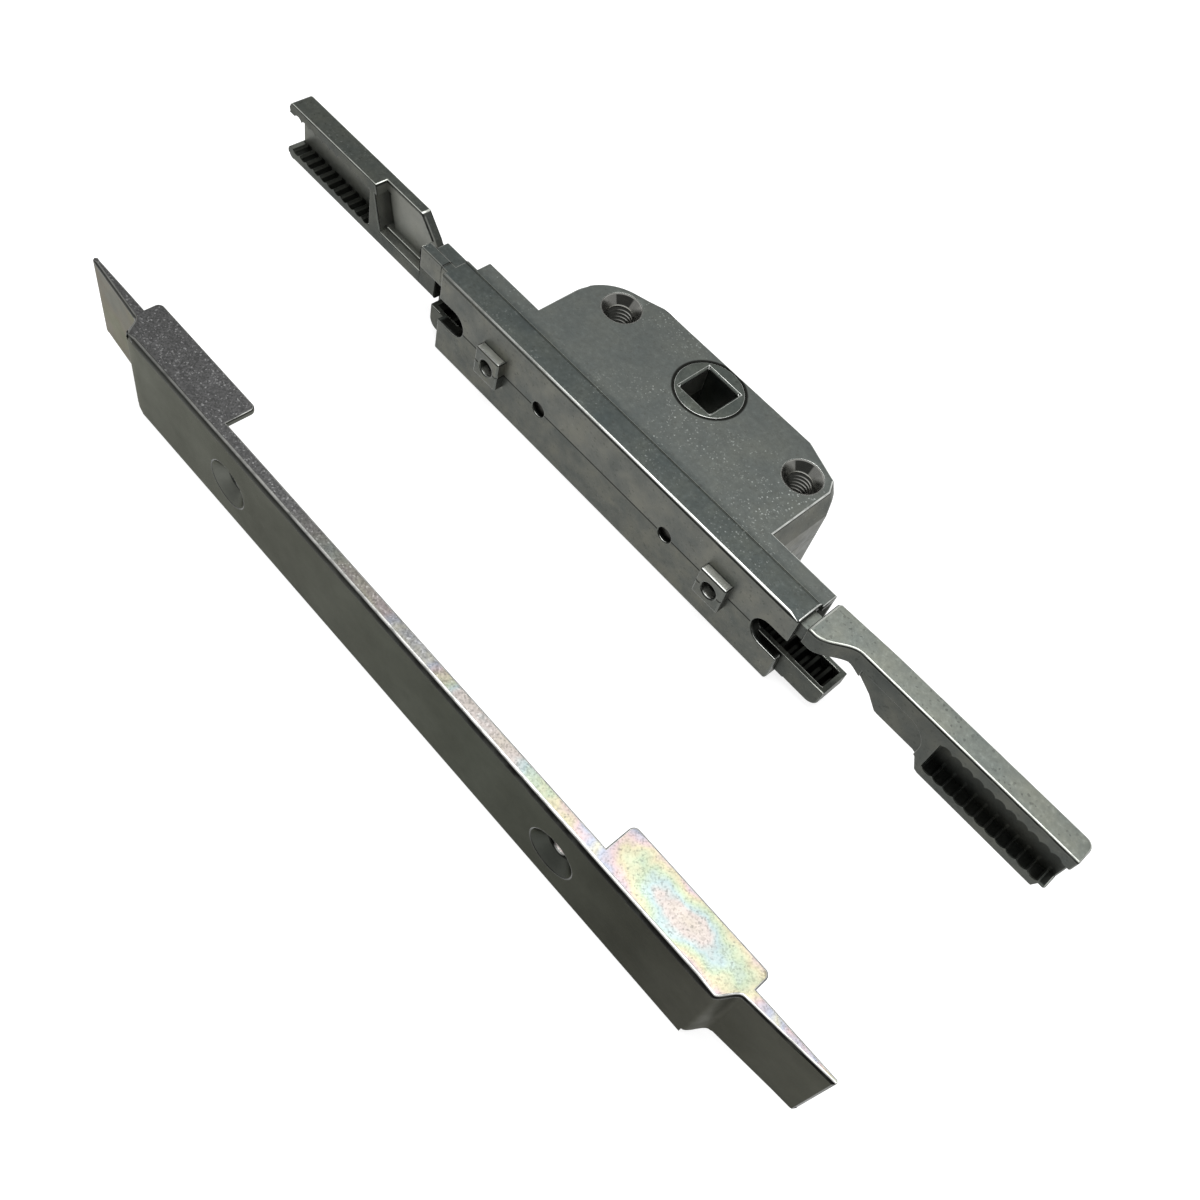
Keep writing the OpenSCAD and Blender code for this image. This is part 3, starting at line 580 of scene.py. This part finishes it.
# The dark tone painted under each edge's painted highlight stands for a dark reflection.
EDGE_PAINTED_DARK_REFLECTION = (0.018, 0.019, 0.017)
# The second tone of each is the tops', painted as light and shade: darker than the walls on the casing,
# much lighter on the right slide, where the soft box shines.
casing_zinc = cast_zinc_finish("casing_zinc", (0.117, 0.121, 0.109), (0.088, 0.100, 0.094), 0.75, 0.34,
                               casing_painted_shade, low_wall=(0.102, 0.106, 0.094), wear_and_painted_light=casing_painted_light)
hub_zinc = cast_zinc_finish("hub_zinc", (0.09, 0.10, 0.09), (0.10, 0.112, 0.10), 0.3, 0.30,
                            hub_painted_shade, wear_and_painted_light=hub_wear)
right_slide_zinc = cast_zinc_finish("right_slide_zinc", (0.072, 0.076, 0.068), (0.225, 0.242, 0.215),
                                    0.25, 0.36, right_slide_painted_shade)
left_slide_zinc = cast_zinc_finish("left_slide_zinc", (0.065, 0.069, 0.061), (0.083, 0.091, 0.081),
                                   0.3, 0.36, left_slide_painted_shade, wear_and_painted_light=left_slide_wear)


def casing_edge_light_to_the_right(tree, place):
    """The painted highlight on the casing's front edge is strongest at its right end."""
    return rightwards(tree, place, -44, 8, 0.22, 0.9)


casing_edge_painted_light = painted_light_edge_finish("casing_edge_painted_light", EDGE_TONE, (0.86, 0.88, 0.84), EDGE_PAINTED_DARK_REFLECTION, 0.22,
                                  casing_edge_light_to_the_right)
slide_edge_painted_light = painted_light_edge_finish("slide_edge_painted_light", EDGE_TONE, (0.58, 0.60, 0.55), EDGE_PAINTED_DARK_REFLECTION, 0.24)
print("cast zinc finishes made")

# %% [markdown]
# ## Turned steel
# The bushes and pins come from a lathe, which leaves fine rings around them. Grease turns their steel
# dark. Highlights are painted on a bush where it would shine: on the lip, on the cone that guides the
# handle screws in, outside a dark sector painted as a reflection, on the neck below the cone and on the
# back right side of the thread's crests. Each of these is found by its height, by its distance from the
# axis or by its side of the axis, which is simpler than painting it on the mesh.

# %% Turned steel of the bushes, pinions and pins


def bush_painted_highlights(tree, place):
    """Painted highlights on a bush: its lip, its cone outside a dark sector, the neck below it and the
    thread's crests on their back right side.
    """
    x, y, z = split(tree, place)
    along = sum_up(tree, "SUBTRACT", x, times(tree, sum_up(tree, "SIGN", x), mm(SCREW_X)))
    radius = how_far(tree, along, y)
    back_right = sum_up(tree, "ADD", times(tree, along, 0.68), times(tree, y, 0.73))
    back_left = sum_up(tree, "ADD", times(tree, along, -0.57), times(tree, y, 0.82))
    sector = sum_up(tree, "DIVIDE", back_left, radius)
    crest = spread(tree, radius, mm(2.14), mm(2.26), 1.0, 0.0)
    crest = times(tree, crest, spread(tree, back_right, mm(-0.4), mm(1.9), 0.02, 1.0))
    cone = spread(tree, z, mm(-1.62), mm(-1.56), 0.0, 0.3)
    cone = times(tree, cone, spread(tree, sector, 0.86, 0.90, 1.0, 0.0))
    lip = spread(tree, z, mm(-0.2), mm(-0.1), 0.0, 0.6)
    neck = spread(tree, z, mm(-1.75), mm(-1.7))
    neck = times(tree, neck, spread(tree, z, mm(-1.5), mm(-1.4), 0.9, 0.0))
    return most(tree, [crest, cone, lip, neck])


def turned_steel_finish(name, tone, gloss, painted_highlight_tone=None):
    """Turned steel with fine rings; the last argument is the tone of the highlights painted on a bush."""
    finish, tree, shader, place = start_finish(name)
    colour = ramp(tree, clouds(tree, place, 900), [(0.3, tuple(0.8 * v for v in tone)), (0.7, tone)])
    if painted_highlight_tone:
        colour = blend_colours(tree, "MIX", bush_painted_highlights(tree, place), colour, painted_highlight_tone)
    tree.links.new(colour, shader.inputs["Base Color"])
    shader.inputs["Metallic"].default_value = 1.0
    polish(tree, shader, place, 1500, gloss, gloss + 0.1)
    turning = tree.nodes.new("ShaderNodeTexWave")
    turning.wave_type = "BANDS"
    turning.bands_direction = "Z"
    turning.inputs["Scale"].default_value = 1600
    turning.inputs["Distortion"].default_value = 0.6
    tree.links.new(place, turning.inputs["Vector"])
    relief(tree, shader, turning.outputs["Fac"], 0.000001, 0.2)
    return finish


bush_steel = turned_steel_finish("bush_steel", (0.045, 0.046, 0.042), 0.2, (0.62, 0.62, 0.58))
greased_steel = turned_steel_finish("greased_steel", (0.045, 0.045, 0.04), 0.3)
print("turned steel finishes made")

# %% [markdown]
# ## Plated zinc
# The cover is plated and passivated. The passivation is a clear film that is as thin as a wave of light,
# so the top shows pale rainbow bands, and the walls look dark olive. The top is painted from dark
# speckled grey on the left to bright tints at the right tab, and the walls darker towards the right, as a
# painted reflection.
# The bands are made from the distance to a point near the right tab. A thin-film input
# of the shader could tint them too, but then their colour would turn with the view.

# %% Plated zinc of the cover


def cover_wall_painted_reflection(tree, place):
    """How dark the wall is painted, from the left end to the right end, as a painted reflection of dark
    things in front.
    """
    return ramp(tree, rightwards(tree, place, -76, 87), [
        (0.0, (0.178, 0.173, 0.144)), (0.09, (0.150, 0.150, 0.125)), (0.12, (0.098, 0.102, 0.090)),
        (0.35, (0.077, 0.080, 0.070)), (0.62, (0.058, 0.063, 0.054)), (0.82, (0.033, 0.034, 0.030)),
        (0.89, (0.050, 0.050, 0.044)), (1.0, (0.059, 0.060, 0.052))])


def rainbow_film(tree, place):
    """Pale tints in rippled oval bands around a point near the right tab, painted bright so that they
    also stand for the soft box's reflection there.
    """
    middle_x, middle_y, band_width = 61, -65.6, 1.5
    along = rightwards(tree, place, middle_x - 60, middle_x + 60, -5.0, 5.0)
    across = spread(tree, split(tree, place)[1], mm(middle_y - 20), mm(middle_y + 20), -5.3, 5.3)
    ripple = spread(tree, clouds(tree, place, 130, 3, 0.5), 0.25, 0.75, -0.45, 0.45)
    oval = sum_up(tree, "ADD", how_far(tree, along, across), ripple)
    band = sum_up(tree, "PINGPONG", oval, band_width)
    return ramp(tree, sum_up(tree, "DIVIDE", band, band_width), [
        (0.0, (0.40, 0.36, 0.31)), (0.22, (0.39, 0.35, 0.33)), (0.36, (0.30, 0.37, 0.37)),
        (0.50, (0.33, 0.38, 0.28)), (0.63, (0.40, 0.37, 0.26)), (0.76, (0.40, 0.32, 0.32)),
        (0.88, (0.31, 0.33, 0.39)), (1.0, (0.38, 0.37, 0.30))])


def plated_zinc_finish(name):
    """Plated zinc: dark olive walls and a top painted from dark grey to bright pale rainbow tints towards
    the right, a painted reflection over the film's tints.
    """
    finish, tree, shader, place = start_finish(name)
    shade = ramp(tree, clouds(tree, place, 90, 5, 0.6), [(0.3, 0.84), (0.5, 1.0), (0.7, 1.2)])
    wall = blend_colours(tree, "MULTIPLY", 1.0, cover_wall_painted_reflection(tree, place), shade)
    film = rainbow_film(tree, place)
    left_tip = rightwards(tree, place, -60, -62, 0.0, 0.3)
    tinted = blend_colours(tree, "MULTIPLY", 1.0, film, (0.6, 0.6, 0.55))
    wall = blend_colours(tree, "MIX", left_tip, wall, tinted)
    grains = crystals(tree, place, 4200)
    # Painted reflection: the top is dark speckled grey on the left and bright film tints on the right.
    grey = ramp(tree, grains, [(0.0, 0.075), (0.5, 0.105), (0.9, 0.135), (1.0, 0.30)])
    stipple = ramp(tree, grains, [(0.0, 0.5), (0.3, 0.85), (0.7, 1.0), (1.0, 1.0)])
    film = blend_colours(tree, "MULTIPLY", rightwards(tree, place, 20, 50, 0.9, 0.55), film, stipple)
    tops = blend_colours(tree, "MIX", rightwards(tree, place, -20, 46), grey, film)
    dots = spread(tree, crystals(tree, place, 4300), 0.88, 1.0, 0.0, 0.5)
    tops = blend_colours(tree, "MIX", dots, tops, (0.10, 0.10, 0.095))
    colour = blend_colours(tree, "MIX", faces_up(tree, 0.8, 0.97), wall, tops)
    tree.links.new(colour, shader.inputs["Base Color"])
    shader.inputs["Metallic"].default_value = 0.95
    shader.inputs["Specular Tint"].default_value = (0.5, 0.5, 0.47, 1)
    polish(tree, shader, place, 300, 0.28, 0.38)
    relief(tree, shader, sum_up(tree, "ADD", clouds(tree, place, 1800, 2), grains), 0.00001, 0.5)
    return finish


def cover_edge_light_to_the_right(tree, place):
    """The painted highlight and painted dark band on the cover's edges grow brighter and darker towards
    the right end.
    """
    return rightwards(tree, place, -50, 30, 0.25, 1.0)


plated_zinc = plated_zinc_finish("plated_zinc_cover")
plated_edge_painted_light = painted_light_edge_finish("plated_zinc_edge_painted_light", (0.05, 0.052, 0.046), (0.80, 0.80, 0.77),
                                  (0.008, 0.008, 0.007), 0.24, cover_edge_light_to_the_right, 0.93)
print("plated zinc finish made")

# %% [markdown]
# ## Castings with rounded edges
# No casting has a sharp edge: the mould's corners are rounded, and each edge catches a
# thin line of light. The solids are exact but sharp. So each casting is copied, its
# loose triangles are merged and its flat faces joined again. Then every outer edge gets
# a bevel weight by its place: the front edge is the roundest, the seam and the rims are
# crisp, and teeth and serrations stay as they are. Modelling the same block a second
# time by hand would only risk a second size.

# %% Helpers for a casting
CREASE = math.radians(34)
FLAT = math.radians(0.3)
SAME_PLACE = 0.000002


def activate(piece):
    """Leaves only this piece selected and makes it the active one."""
    bpy.ops.object.select_all(action="DESELECT")
    bpy.context.view_layer.objects.active = piece
    piece.select_set(True)


def skin_area(piece):
    """The area of a piece in square millimetres; a folded face would add to it."""
    return sum(p.area for p in piece.data.polygons) * 1000000


def all_solids():
    """One search tree over every solid, to tell outer edges from hidden ones."""
    corners, faces = [], []
    for solid in frame["nodes"].values():
        start = len(corners)
        corners += [v.co.copy() for v in solid.data.vertices]
        faces += [[start + i for i in p.vertices] for p in solid.data.polygons]
    return BVHTree.FromPolygons(corners, faces)


solids = all_solids()
print("search tree over all solids ready")

# %% Weigh the edges


def weigh_edges(piece, rules, usual):
    """Weighs outer convex edges. The first box that holds an edge rules, and along a smooth
    curve the smallest weight spreads, so that no rounding changes its size halfway."""
    body = bmesh.new()
    body.from_mesh(piece.data)
    layer = body.edges.layers.float.new("bevel_weight_edge")
    count = 0
    for edge in body.edges:
        if len(edge.link_faces) != 2 or not edge.is_convex or edge.calc_face_angle(0) < CREASE:
            continue
        middle = (edge.verts[0].co + edge.verts[1].co) / 2
        away = (edge.link_faces[0].normal + edge.link_faces[1].normal).normalized()
        if solids.ray_cast(middle + away * 0.00003, away, 0.02)[0]:
            continue
        weight = usual
        for low, high, given in rules:
            if all(a <= v * 1000 <= b for a, v, b in zip(low, middle, high)):
                weight = given
                break
        edge[layer] = weight
        count += weight > 0
    uneven = True
    while uneven:
        uneven = False
        for corner in body.verts:
            pair = [e for e in corner.link_edges if e[layer] > 0]
            if len(pair) != 2 or abs(pair[0][layer] - pair[1][layer]) < 0.001:
                continue
            ways = [e.other_vert(corner).co - corner.co for e in pair]
            if math.radians(140) < ways[0].angle(ways[1]) < math.radians(179.5):
                pair[0][layer] = pair[1][layer] = min(pair[0][layer], pair[1][layer])
                uneven = True
    body.to_mesh(piece.data)
    body.free()
    return count


print("edge weights ready")

# %% [markdown]
# ## The cover's top and front
# The cover asks for more care, because its edge is the roundest. The tops of its two
# wedges start up to 0.2 mm below the rest, and a rounding of 0.85 mm would fold over
# such a small step, so the step is made flush first. And triangles that reach from the
# front edge down to the screw holes are long and thin, and would turn over. So a strip
# of the front face under the edge is freed from them. A smaller rounding would need
# neither, but it would lose the broad line of light along the cover.

# %% Prepare the cover
COVER_MIDDLE_X = 5.4
WEDGES_FROM_MIDDLE = 63.9
LOW_TOPS_Z = (-0.21, -0.05)
NOTCH_X = (-61.75, 72.45)
NOTCH_Y = -66.83
FREE_STRIP_Z = -1.05


def is_levelled(corner, levelled, low, high):
    """True beyond the levelled distance from the middle of the cover, at a height in mm."""
    return abs(corner.x * 1000 - COVER_MIDDLE_X) > levelled and low < corner.z * 1000 < high


def cut(point, direction):
    """Cuts all faces of the piece in edit mode along a plane."""
    bpy.ops.mesh.select_all(action="SELECT")
    bpy.ops.mesh.bisect(plane_co=point, plane_no=direction)


def make_flush(piece, levelled):
    """Lifts the low tops beyond the levelled distance to the tab and closes the small
    notches beside them. First every face is cut at the places of the lifted corners."""
    lowered = [v.co.copy() for v in piece.data.vertices if is_levelled(v.co, levelled, *LOW_TOPS_Z)]
    bpy.ops.object.mode_set(mode="EDIT")
    for i, direction in ((0, (1, 0, 0)), (1, (0, 1, 0))):
        for place in sorted({round(corner[i], 6) for corner in lowered}):
            exact = next(corner[i] for corner in lowered if round(corner[i], 6) == place)
            cut([exact if j == i else 0 for j in range(3)], direction)
    bpy.ops.mesh.select_all(action="DESELECT")
    bpy.ops.object.mode_set(mode="OBJECT")
    for corner in piece.data.vertices:
        if is_levelled(corner.co, levelled, *LOW_TOPS_Z):
            corner.co.z = 0
        x, y, z = (v * 1000 for v in corner.co)
        corner.select = min(abs(x - notch) for notch in NOTCH_X) < 0.02 and abs(y - NOTCH_Y) < 0.03
    bpy.ops.object.mode_set(mode="EDIT")
    bpy.ops.mesh.remove_doubles(threshold=0.00005)
    bpy.ops.object.mode_set(mode="OBJECT")


def clear_strip(piece, depth):
    """Frees the top strip of the front face from the lines that lead to the screw holes."""
    body = bmesh.new()
    body.from_mesh(piece.data)
    front = [f for f in body.faces
             if f.normal.y < -0.9999 and abs(f.calc_center_median().y - mm(COVER_Y)) < 0.000002]
    parts = list({part for f in front for part in [f, *f.edges, *f.verts]})
    made = bmesh.ops.bisect_plane(body, geom=parts, plane_co=mm(0, 0, depth), plane_no=(0, 0, 1))
    for part in made["geom_cut"]:
        if isinstance(part, bmesh.types.BMEdge):
            part.seam = True
    bmesh.ops.dissolve_limit(body, angle_limit=FLAT, verts=body.verts, edges=body.edges, delimit={"SEAM"})
    body.to_mesh(piece.data)
    body.free()


print("helpers for the cover ready")

# %% [markdown]
# ## From solid to casting
# Long thin triangles bend a rounding, so each piece is sliced every few millimetres
# along its length before it is rounded. Afterwards any corner that stands out of the
# solid is planed back, because the dressed piece may not be larger than the solid. A
# Remesh modifier would give even faces too, but it would blur every tooth.

# %% Copy, slice and round
SLICE_PITCH = 4.13
SLICE_OFFSET = 0.37
SLICES_PER_SIDE = 22


def merged_copy(node, name):
    """A copy of a solid, as a piece of its own with its loose triangles merged."""
    piece = bpy.data.objects.new(name, frame["nodes"][node].data.copy())
    bpy.context.collection.objects.link(piece)
    activate(piece)
    bpy.ops.mesh.customdata_custom_splitnormals_clear()
    bpy.ops.object.mode_set(mode="EDIT")
    bpy.ops.mesh.select_all(action="SELECT")
    bpy.ops.mesh.remove_doubles(threshold=SAME_PLACE)
    bpy.ops.object.mode_set(mode="OBJECT")
    return piece


def join_flat_faces():
    """Merges the corners of the active piece and joins what lies flat."""
    bpy.ops.object.mode_set(mode="EDIT")
    bpy.ops.mesh.select_all(action="SELECT")
    bpy.ops.mesh.remove_doubles(threshold=SAME_PLACE)
    bpy.ops.mesh.dissolve_limited(angle_limit=FLAT)
    bpy.ops.object.mode_set(mode="OBJECT")


def slice_up():
    """Cuts the active piece into short lengths and its faces into triangles."""
    bpy.ops.object.mode_set(mode="EDIT")
    for place in range(-SLICES_PER_SIDE, SLICES_PER_SIDE + 1):
        cut(mm(place * SLICE_PITCH + SLICE_OFFSET, 0, 0), (1, 0, 0))
    bpy.ops.mesh.select_all(action="SELECT")
    bpy.ops.mesh.quads_convert_to_tris(quad_method="BEAUTY", ngon_method="BEAUTY")
    bpy.ops.object.mode_set(mode="OBJECT")


def round_off(piece, radius):
    """Rounds the weighed edges to a radius in mm, in the piece's second finish."""
    rounding = piece.modifiers.new("rounding", "BEVEL")
    rounding.width = mm(radius)
    rounding.segments = 3
    rounding.limit_method = "WEIGHT"
    rounding.use_clamp_overlap = False
    rounding.loop_slide = False
    rounding.material = 1
    bpy.ops.object.modifier_apply(modifier="rounding")


def plane_back(piece, solid, levelled):
    """Brings every corner that stands out of the solid back to it, but leaves levelled tops."""
    corners = [v.co for v in solid.data.vertices]
    tree = BVHTree.FromPolygons(corners, [p.vertices for p in solid.data.polygons])
    low = [min(corner[i] for corner in corners) for i in range(3)]
    high = [max(corner[i] for corner in corners) for i in range(3)]
    count = 0
    for corner in piece.data.vertices:
        near, normal, _, gap = tree.find_nearest(corner.co)
        allowed = -LOW_TOPS_Z[0] if levelled and is_levelled(corner.co, levelled, -0.6, 0.1) else 0.01
        if gap > mm(allowed) and (corner.co - near).dot(normal) > 0:
            corner.co = near
            count += 1
        corner.co = [min(max(v, a), b) for v, a, b in zip(corner.co, low, high)]
    return count


def shade_casting(piece):
    """Shades the roundings smooth and the large faces flat."""
    bpy.ops.object.shade_smooth_by_angle(angle=CREASE)
    flat = piece.modifiers.new("flat_faces", "WEIGHTED_NORMAL")
    flat.mode = "FACE_AREA"
    flat.weight = 100
    flat.keep_sharp = True
    bpy.ops.object.modifier_apply(modifier="flat_faces")


print("helpers for slicing and rounding ready")

# %% The whole recipe


def casting(node, name, radius, rules, usual, body, finish, edge_finish, levelled=None):
    """A dressed copy of a solid, with its outer edges rounded to shares of a radius in mm.
    Beyond the levelled distance from its middle, small steps in the top are made flush."""
    piece = merged_copy(node, name)
    if levelled:
        make_flush(piece, levelled)
    join_flat_faces()
    if levelled:
        clear_strip(piece, FREE_STRIP_Z)
    slice_up()
    before = skin_area(piece)
    rounded = weigh_edges(piece, rules, usual)
    piece.data.materials.clear()
    piece.data.materials.append(finish)
    piece.data.materials.append(edge_finish)
    round_off(piece, radius)
    planed = plane_back(piece, frame["nodes"][node], levelled)
    shade_casting(piece)
    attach(piece, body)
    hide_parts(node)
    print(planed, "corners planed back on", name)
    print(name, len(piece.data.polygons), "faces,", rounded, "rounded edges, skin in mm2",
          round(before), "before and", round(skin_area(piece)), "after")


print("recipe for a casting ready")

# %% [markdown]
# ## The rules of the edges
# Each rule is a box in millimetres and the share of the radius that its edges get, and
# the first box that holds an edge counts. Teeth and serrations get no share, so they
# stay sharp. A single bevel limited by angle would be simpler, but it would eat the
# serrations, whose crests are only a few hundredths of a millimetre wide.

# %% The two shells
FAR = 200
seam_rule = ((-FAR, -FAR, SEAM_Z - 0.05), (FAR, FAR, SEAM_Z + 0.05), 0)
lug_rule = ((-FAR, FRONT_Y - 3, -13), (FAR, FRONT_Y - 0.05, -5), 0.6)
foot_of_lugs_rule = ((-FAR, FRONT_Y - 0.05, -13.5), (FAR, FRONT_Y + 0.05, -5), 0.35)
step_rule = ((-FAR, RIDGE_Y - 0.15, -0.2), (FAR, RIDGE_Y + 0.15, 0.1), 0)
right_end_rule = ((39.2, -FAR, -0.2), (39.35, RIDGE_Y + 0.1, 0.1), 0.1)
hub_seat_rule = ((-6.3, -6.3, -0.1), (6.3, 6.3, 0.1), 0)
bush_rules = [((x - 3.8, -3.8, -0.1), (x + 3.8, 3.8, 0.1), 0.1) for x in (-SCREW_X, SCREW_X)]
front_edge_rule = ((-FAR, FRONT_Y - 0.05, -0.3), (FAR, FRONT_Y + 0.05, 0.1), 1.0)
right_foot_rule = ((CASING_X[1] - 0.1, -FAR, BASE_Z - 0.1), (CASING_X[1] + 0.1, FAR, BASE_Z + 0.1), 1.6)
underside_rule = ((-FAR, -6, BASE_Z - 0.1), (FAR, 6, BASE_Z + 0.1), 0.35)
upper_rules = [seam_rule, lug_rule, foot_of_lugs_rule, step_rule, right_end_rule, hub_seat_rule,
               *bush_rules, front_edge_rule]
lower_rules = [seam_rule, lug_rule, foot_of_lugs_rule, right_foot_rule, underside_rule]
casting("upper_shell", "upper_shell_casting", 0.6, upper_rules, 0.45, "casing",
        casing_zinc, casing_edge_painted_light)
casting("lower_shell", "lower_shell_casting", 0.6, lower_rules, 0.55, "casing",
        casing_zinc, casing_edge_painted_light)

# %% The hub and the slides
gear_teeth_rule = ((-FAR, -FAR, -7), (FAR, FAR, -1), 0)
inside_casing_rule = ((-FAR, -FAR, -FAR), (CASING_X[1] - 0.5, FAR, FAR), 0)
right_rules = [
    inside_casing_rule,
    ((90.2, -FAR, -FAR), (91, FAR, FAR), 0.6),  # the tip of the arm
    ((65.9, -17, -11.9), (90.2, -14, -0.4), 0),  # the socket and its serrations
    ((50.5, -16.9, -12.3), (64.2, -16.8, -3.1), 0.3),  # the arm's belly, in front
    ((-FAR, -21, -0.1), (FAR, -16.5, 0.1), 1.0)]  # the front edge of the top
left_rules = [
    ((-48, -18.35, -14.6), (50, -14.0, -11.4), 0),  # the teeth of the tray
    ((-49, -20, -11.5), (50, -12, -11.2), 0.35),  # the tray's upper edges
    ((-92.1, -17.5, -11.3), (-68.1, -14, -1.3), 0),  # the socket and its serrations
    ((-FAR, -17.5, -12.3), (-50, -17.2, -12.1), 1.0),  # the lower front edge
    ((-68, -17.5, -9.5), (-50, -15, 0.1), 0.6)]  # around the pocket
casting("spindle_gear", "spindle_hub", 0.1, [gear_teeth_rule], 1.0, "spindle",
        hub_zinc, casing_edge_painted_light)
casting("right_slide", "right_slide_casting", 0.45, right_rules, 0.6, "right_slide",
        right_slide_zinc, slide_edge_painted_light)
casting("left_slide", "left_slide_casting", 0.45, left_rules, 0.6, "left_slide",
        left_slide_zinc, slide_edge_painted_light)

# %% The cover
cover_rules = [
    ((-FAR, -FAR, -FAR), (-74.2, FAR, FAR), 0.1),  # the left tip
    ((86, -FAR, -FAR), (FAR, FAR, FAR), 0.1),  # the right tip
    ((-57.6, COVER_Y - 0.05, -0.1), (66.6, COVER_Y + 0.05, 0.1), 1.0),  # the front edge
    ((-FAR, COVER_Y - 0.05, -0.1), (-57.6, -65, 0.1), 0.6),  # its left end
    ((66.6, COVER_Y - 0.05, -0.1), (FAR, -65, 0.1), 0.6),  # its right end
    ((-61.5, -70, -17.9), (-57.9, -65.5, -15.2), 0),  # the lower left corner
    ((68.6, -70, -17.9), (72.4, -65.5, -15.2), 0),  # the lower right corner
    ((-FAR, COVER_Y - 0.05, -15), (FAR, COVER_Y + 0.05, -5), 0.15)]  # the screw holes
casting("cover_plate", "cover_casting", 0.85, cover_rules, 0.3, "cover",
        plated_zinc, plated_edge_painted_light, levelled=WEDGES_FROM_MIDDLE)

# %% [markdown]
# ## Threaded bushes
# A bush is a turned steel sleeve with an M5 thread and a wide countersink that guides the
# handle screw. It is turned on a lathe, so it is built the same way: one ring of edges is
# extruded and resized along the profile until it closes on itself. The thread is a small
# triangle that the Screw modifier carries down the bore in a helix. A bump map could
# fake the thread, but the bore is seen from above and its turns stand out against the dark.

# %% Turn a sleeve


def turned(name, profile, x0, sides):
    """A closed turned body: rings of radius and height in mm, around an axis at x0."""
    bpy.ops.object.select_all(action="DESELECT")
    radius, height = profile[0]
    bpy.ops.mesh.primitive_circle_add(vertices=sides, radius=mm(radius), location=mm(x0, 0, height))
    piece = bpy.context.object
    piece.name = name
    bpy.ops.object.mode_set(mode="EDIT")
    bpy.ops.mesh.select_all(action="SELECT")
    for next_radius, next_height in profile[1:] + profile[:1]:
        bpy.ops.mesh.extrude_edges_move(
            TRANSFORM_OT_translate={"value": (0, 0, mm(next_height - height))})
        grow = next_radius / radius
        bpy.ops.transform.resize(value=(grow, grow, 1), center_override=mm(x0, 0, next_height))
        radius, height = next_radius, next_height
    bpy.ops.mesh.select_all(action="SELECT")
    bpy.ops.mesh.remove_doubles(threshold=0.000001)
    bpy.ops.mesh.normals_make_consistent(inside=False)
    bpy.ops.object.mode_set(mode="OBJECT")
    bpy.ops.object.transform_apply(location=True, rotation=False, scale=False)
    return piece


def thread_ridge(x0, top, turns, pitch=0.8, root=2.55, crest=2.1):
    """A helical ridge of triangular section, closed at both ends, in mm."""
    bpy.ops.object.select_all(action="DESELECT")
    bpy.ops.mesh.primitive_circle_add(vertices=3, radius=0.001, fill_type="NOTHING", location=(0, 0, 0))
    ridge = bpy.context.object
    for corner, place in zip(ridge.data.vertices, ((root, 0, 0), (crest, 0, -0.4), (root, 0, -0.78))):
        corner.co = mm(*place)
    helix = ridge.modifiers.new("helix", "SCREW")
    helix.screw_offset = mm(-pitch)
    helix.iterations = turns
    helix.steps = helix.render_steps = 40
    bpy.ops.object.modifier_apply(modifier="helix")
    bpy.ops.object.mode_set(mode="EDIT")
    bpy.ops.mesh.select_all(action="SELECT")
    bpy.ops.mesh.fill_holes(sides=4)
    bpy.ops.mesh.select_all(action="SELECT")
    bpy.ops.mesh.normals_make_consistent(inside=False)
    bpy.ops.object.mode_set(mode="OBJECT")
    ridge.location = mm(x0, 0, top)
    bpy.ops.object.transform_apply(location=True, rotation=False, scale=False)
    return ridge


# %% Make the two bushes
bush_profile = [
    (3.1, -1.18), (3.2, -1.28), (3.2, -16.95), (3.9, -16.95), (4.0, -17.05), (4.0, -17.6), (3.9, -17.7),
    (2.9, -17.7), (2.55, -17.35), (2.55, -2.15), (2.2, -1.75), (2.17, -1.6), (2.25, -1.45), (3.46, -0.12),
    (3.52, -0.03), (3.57, -0.03), (3.6, -0.09), (3.6, -1.18)]
for side, word in ((-1, "left"), (1, "right")):
    bush = turned("bush_with_thread_" + word, bush_profile, side * SCREW_X, sides=64)
    ridge = thread_ridge(side * SCREW_X, top=-1.85, turns=18)
    activate(bush)
    ridge.select_set(True)
    bpy.ops.object.join()
    bpy.ops.object.shade_smooth_by_angle(angle=math.radians(25))
    bush.data.materials.append(bush_steel)
    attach(bush, "casing")
    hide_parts("threaded_bush_" + word)
    print(bush.name, len(bush.data.polygons), "faces")

# %% Finishes on the hidden steel parts
for node in ("reversing_pinion_left", "reversing_pinion_right", "pinion_pin_left", "pinion_pin_right"):
    mesh = frame["nodes"][node].data
    mesh.materials.clear()
    mesh.materials.append(greased_steel)
print("pinions and pins greased")
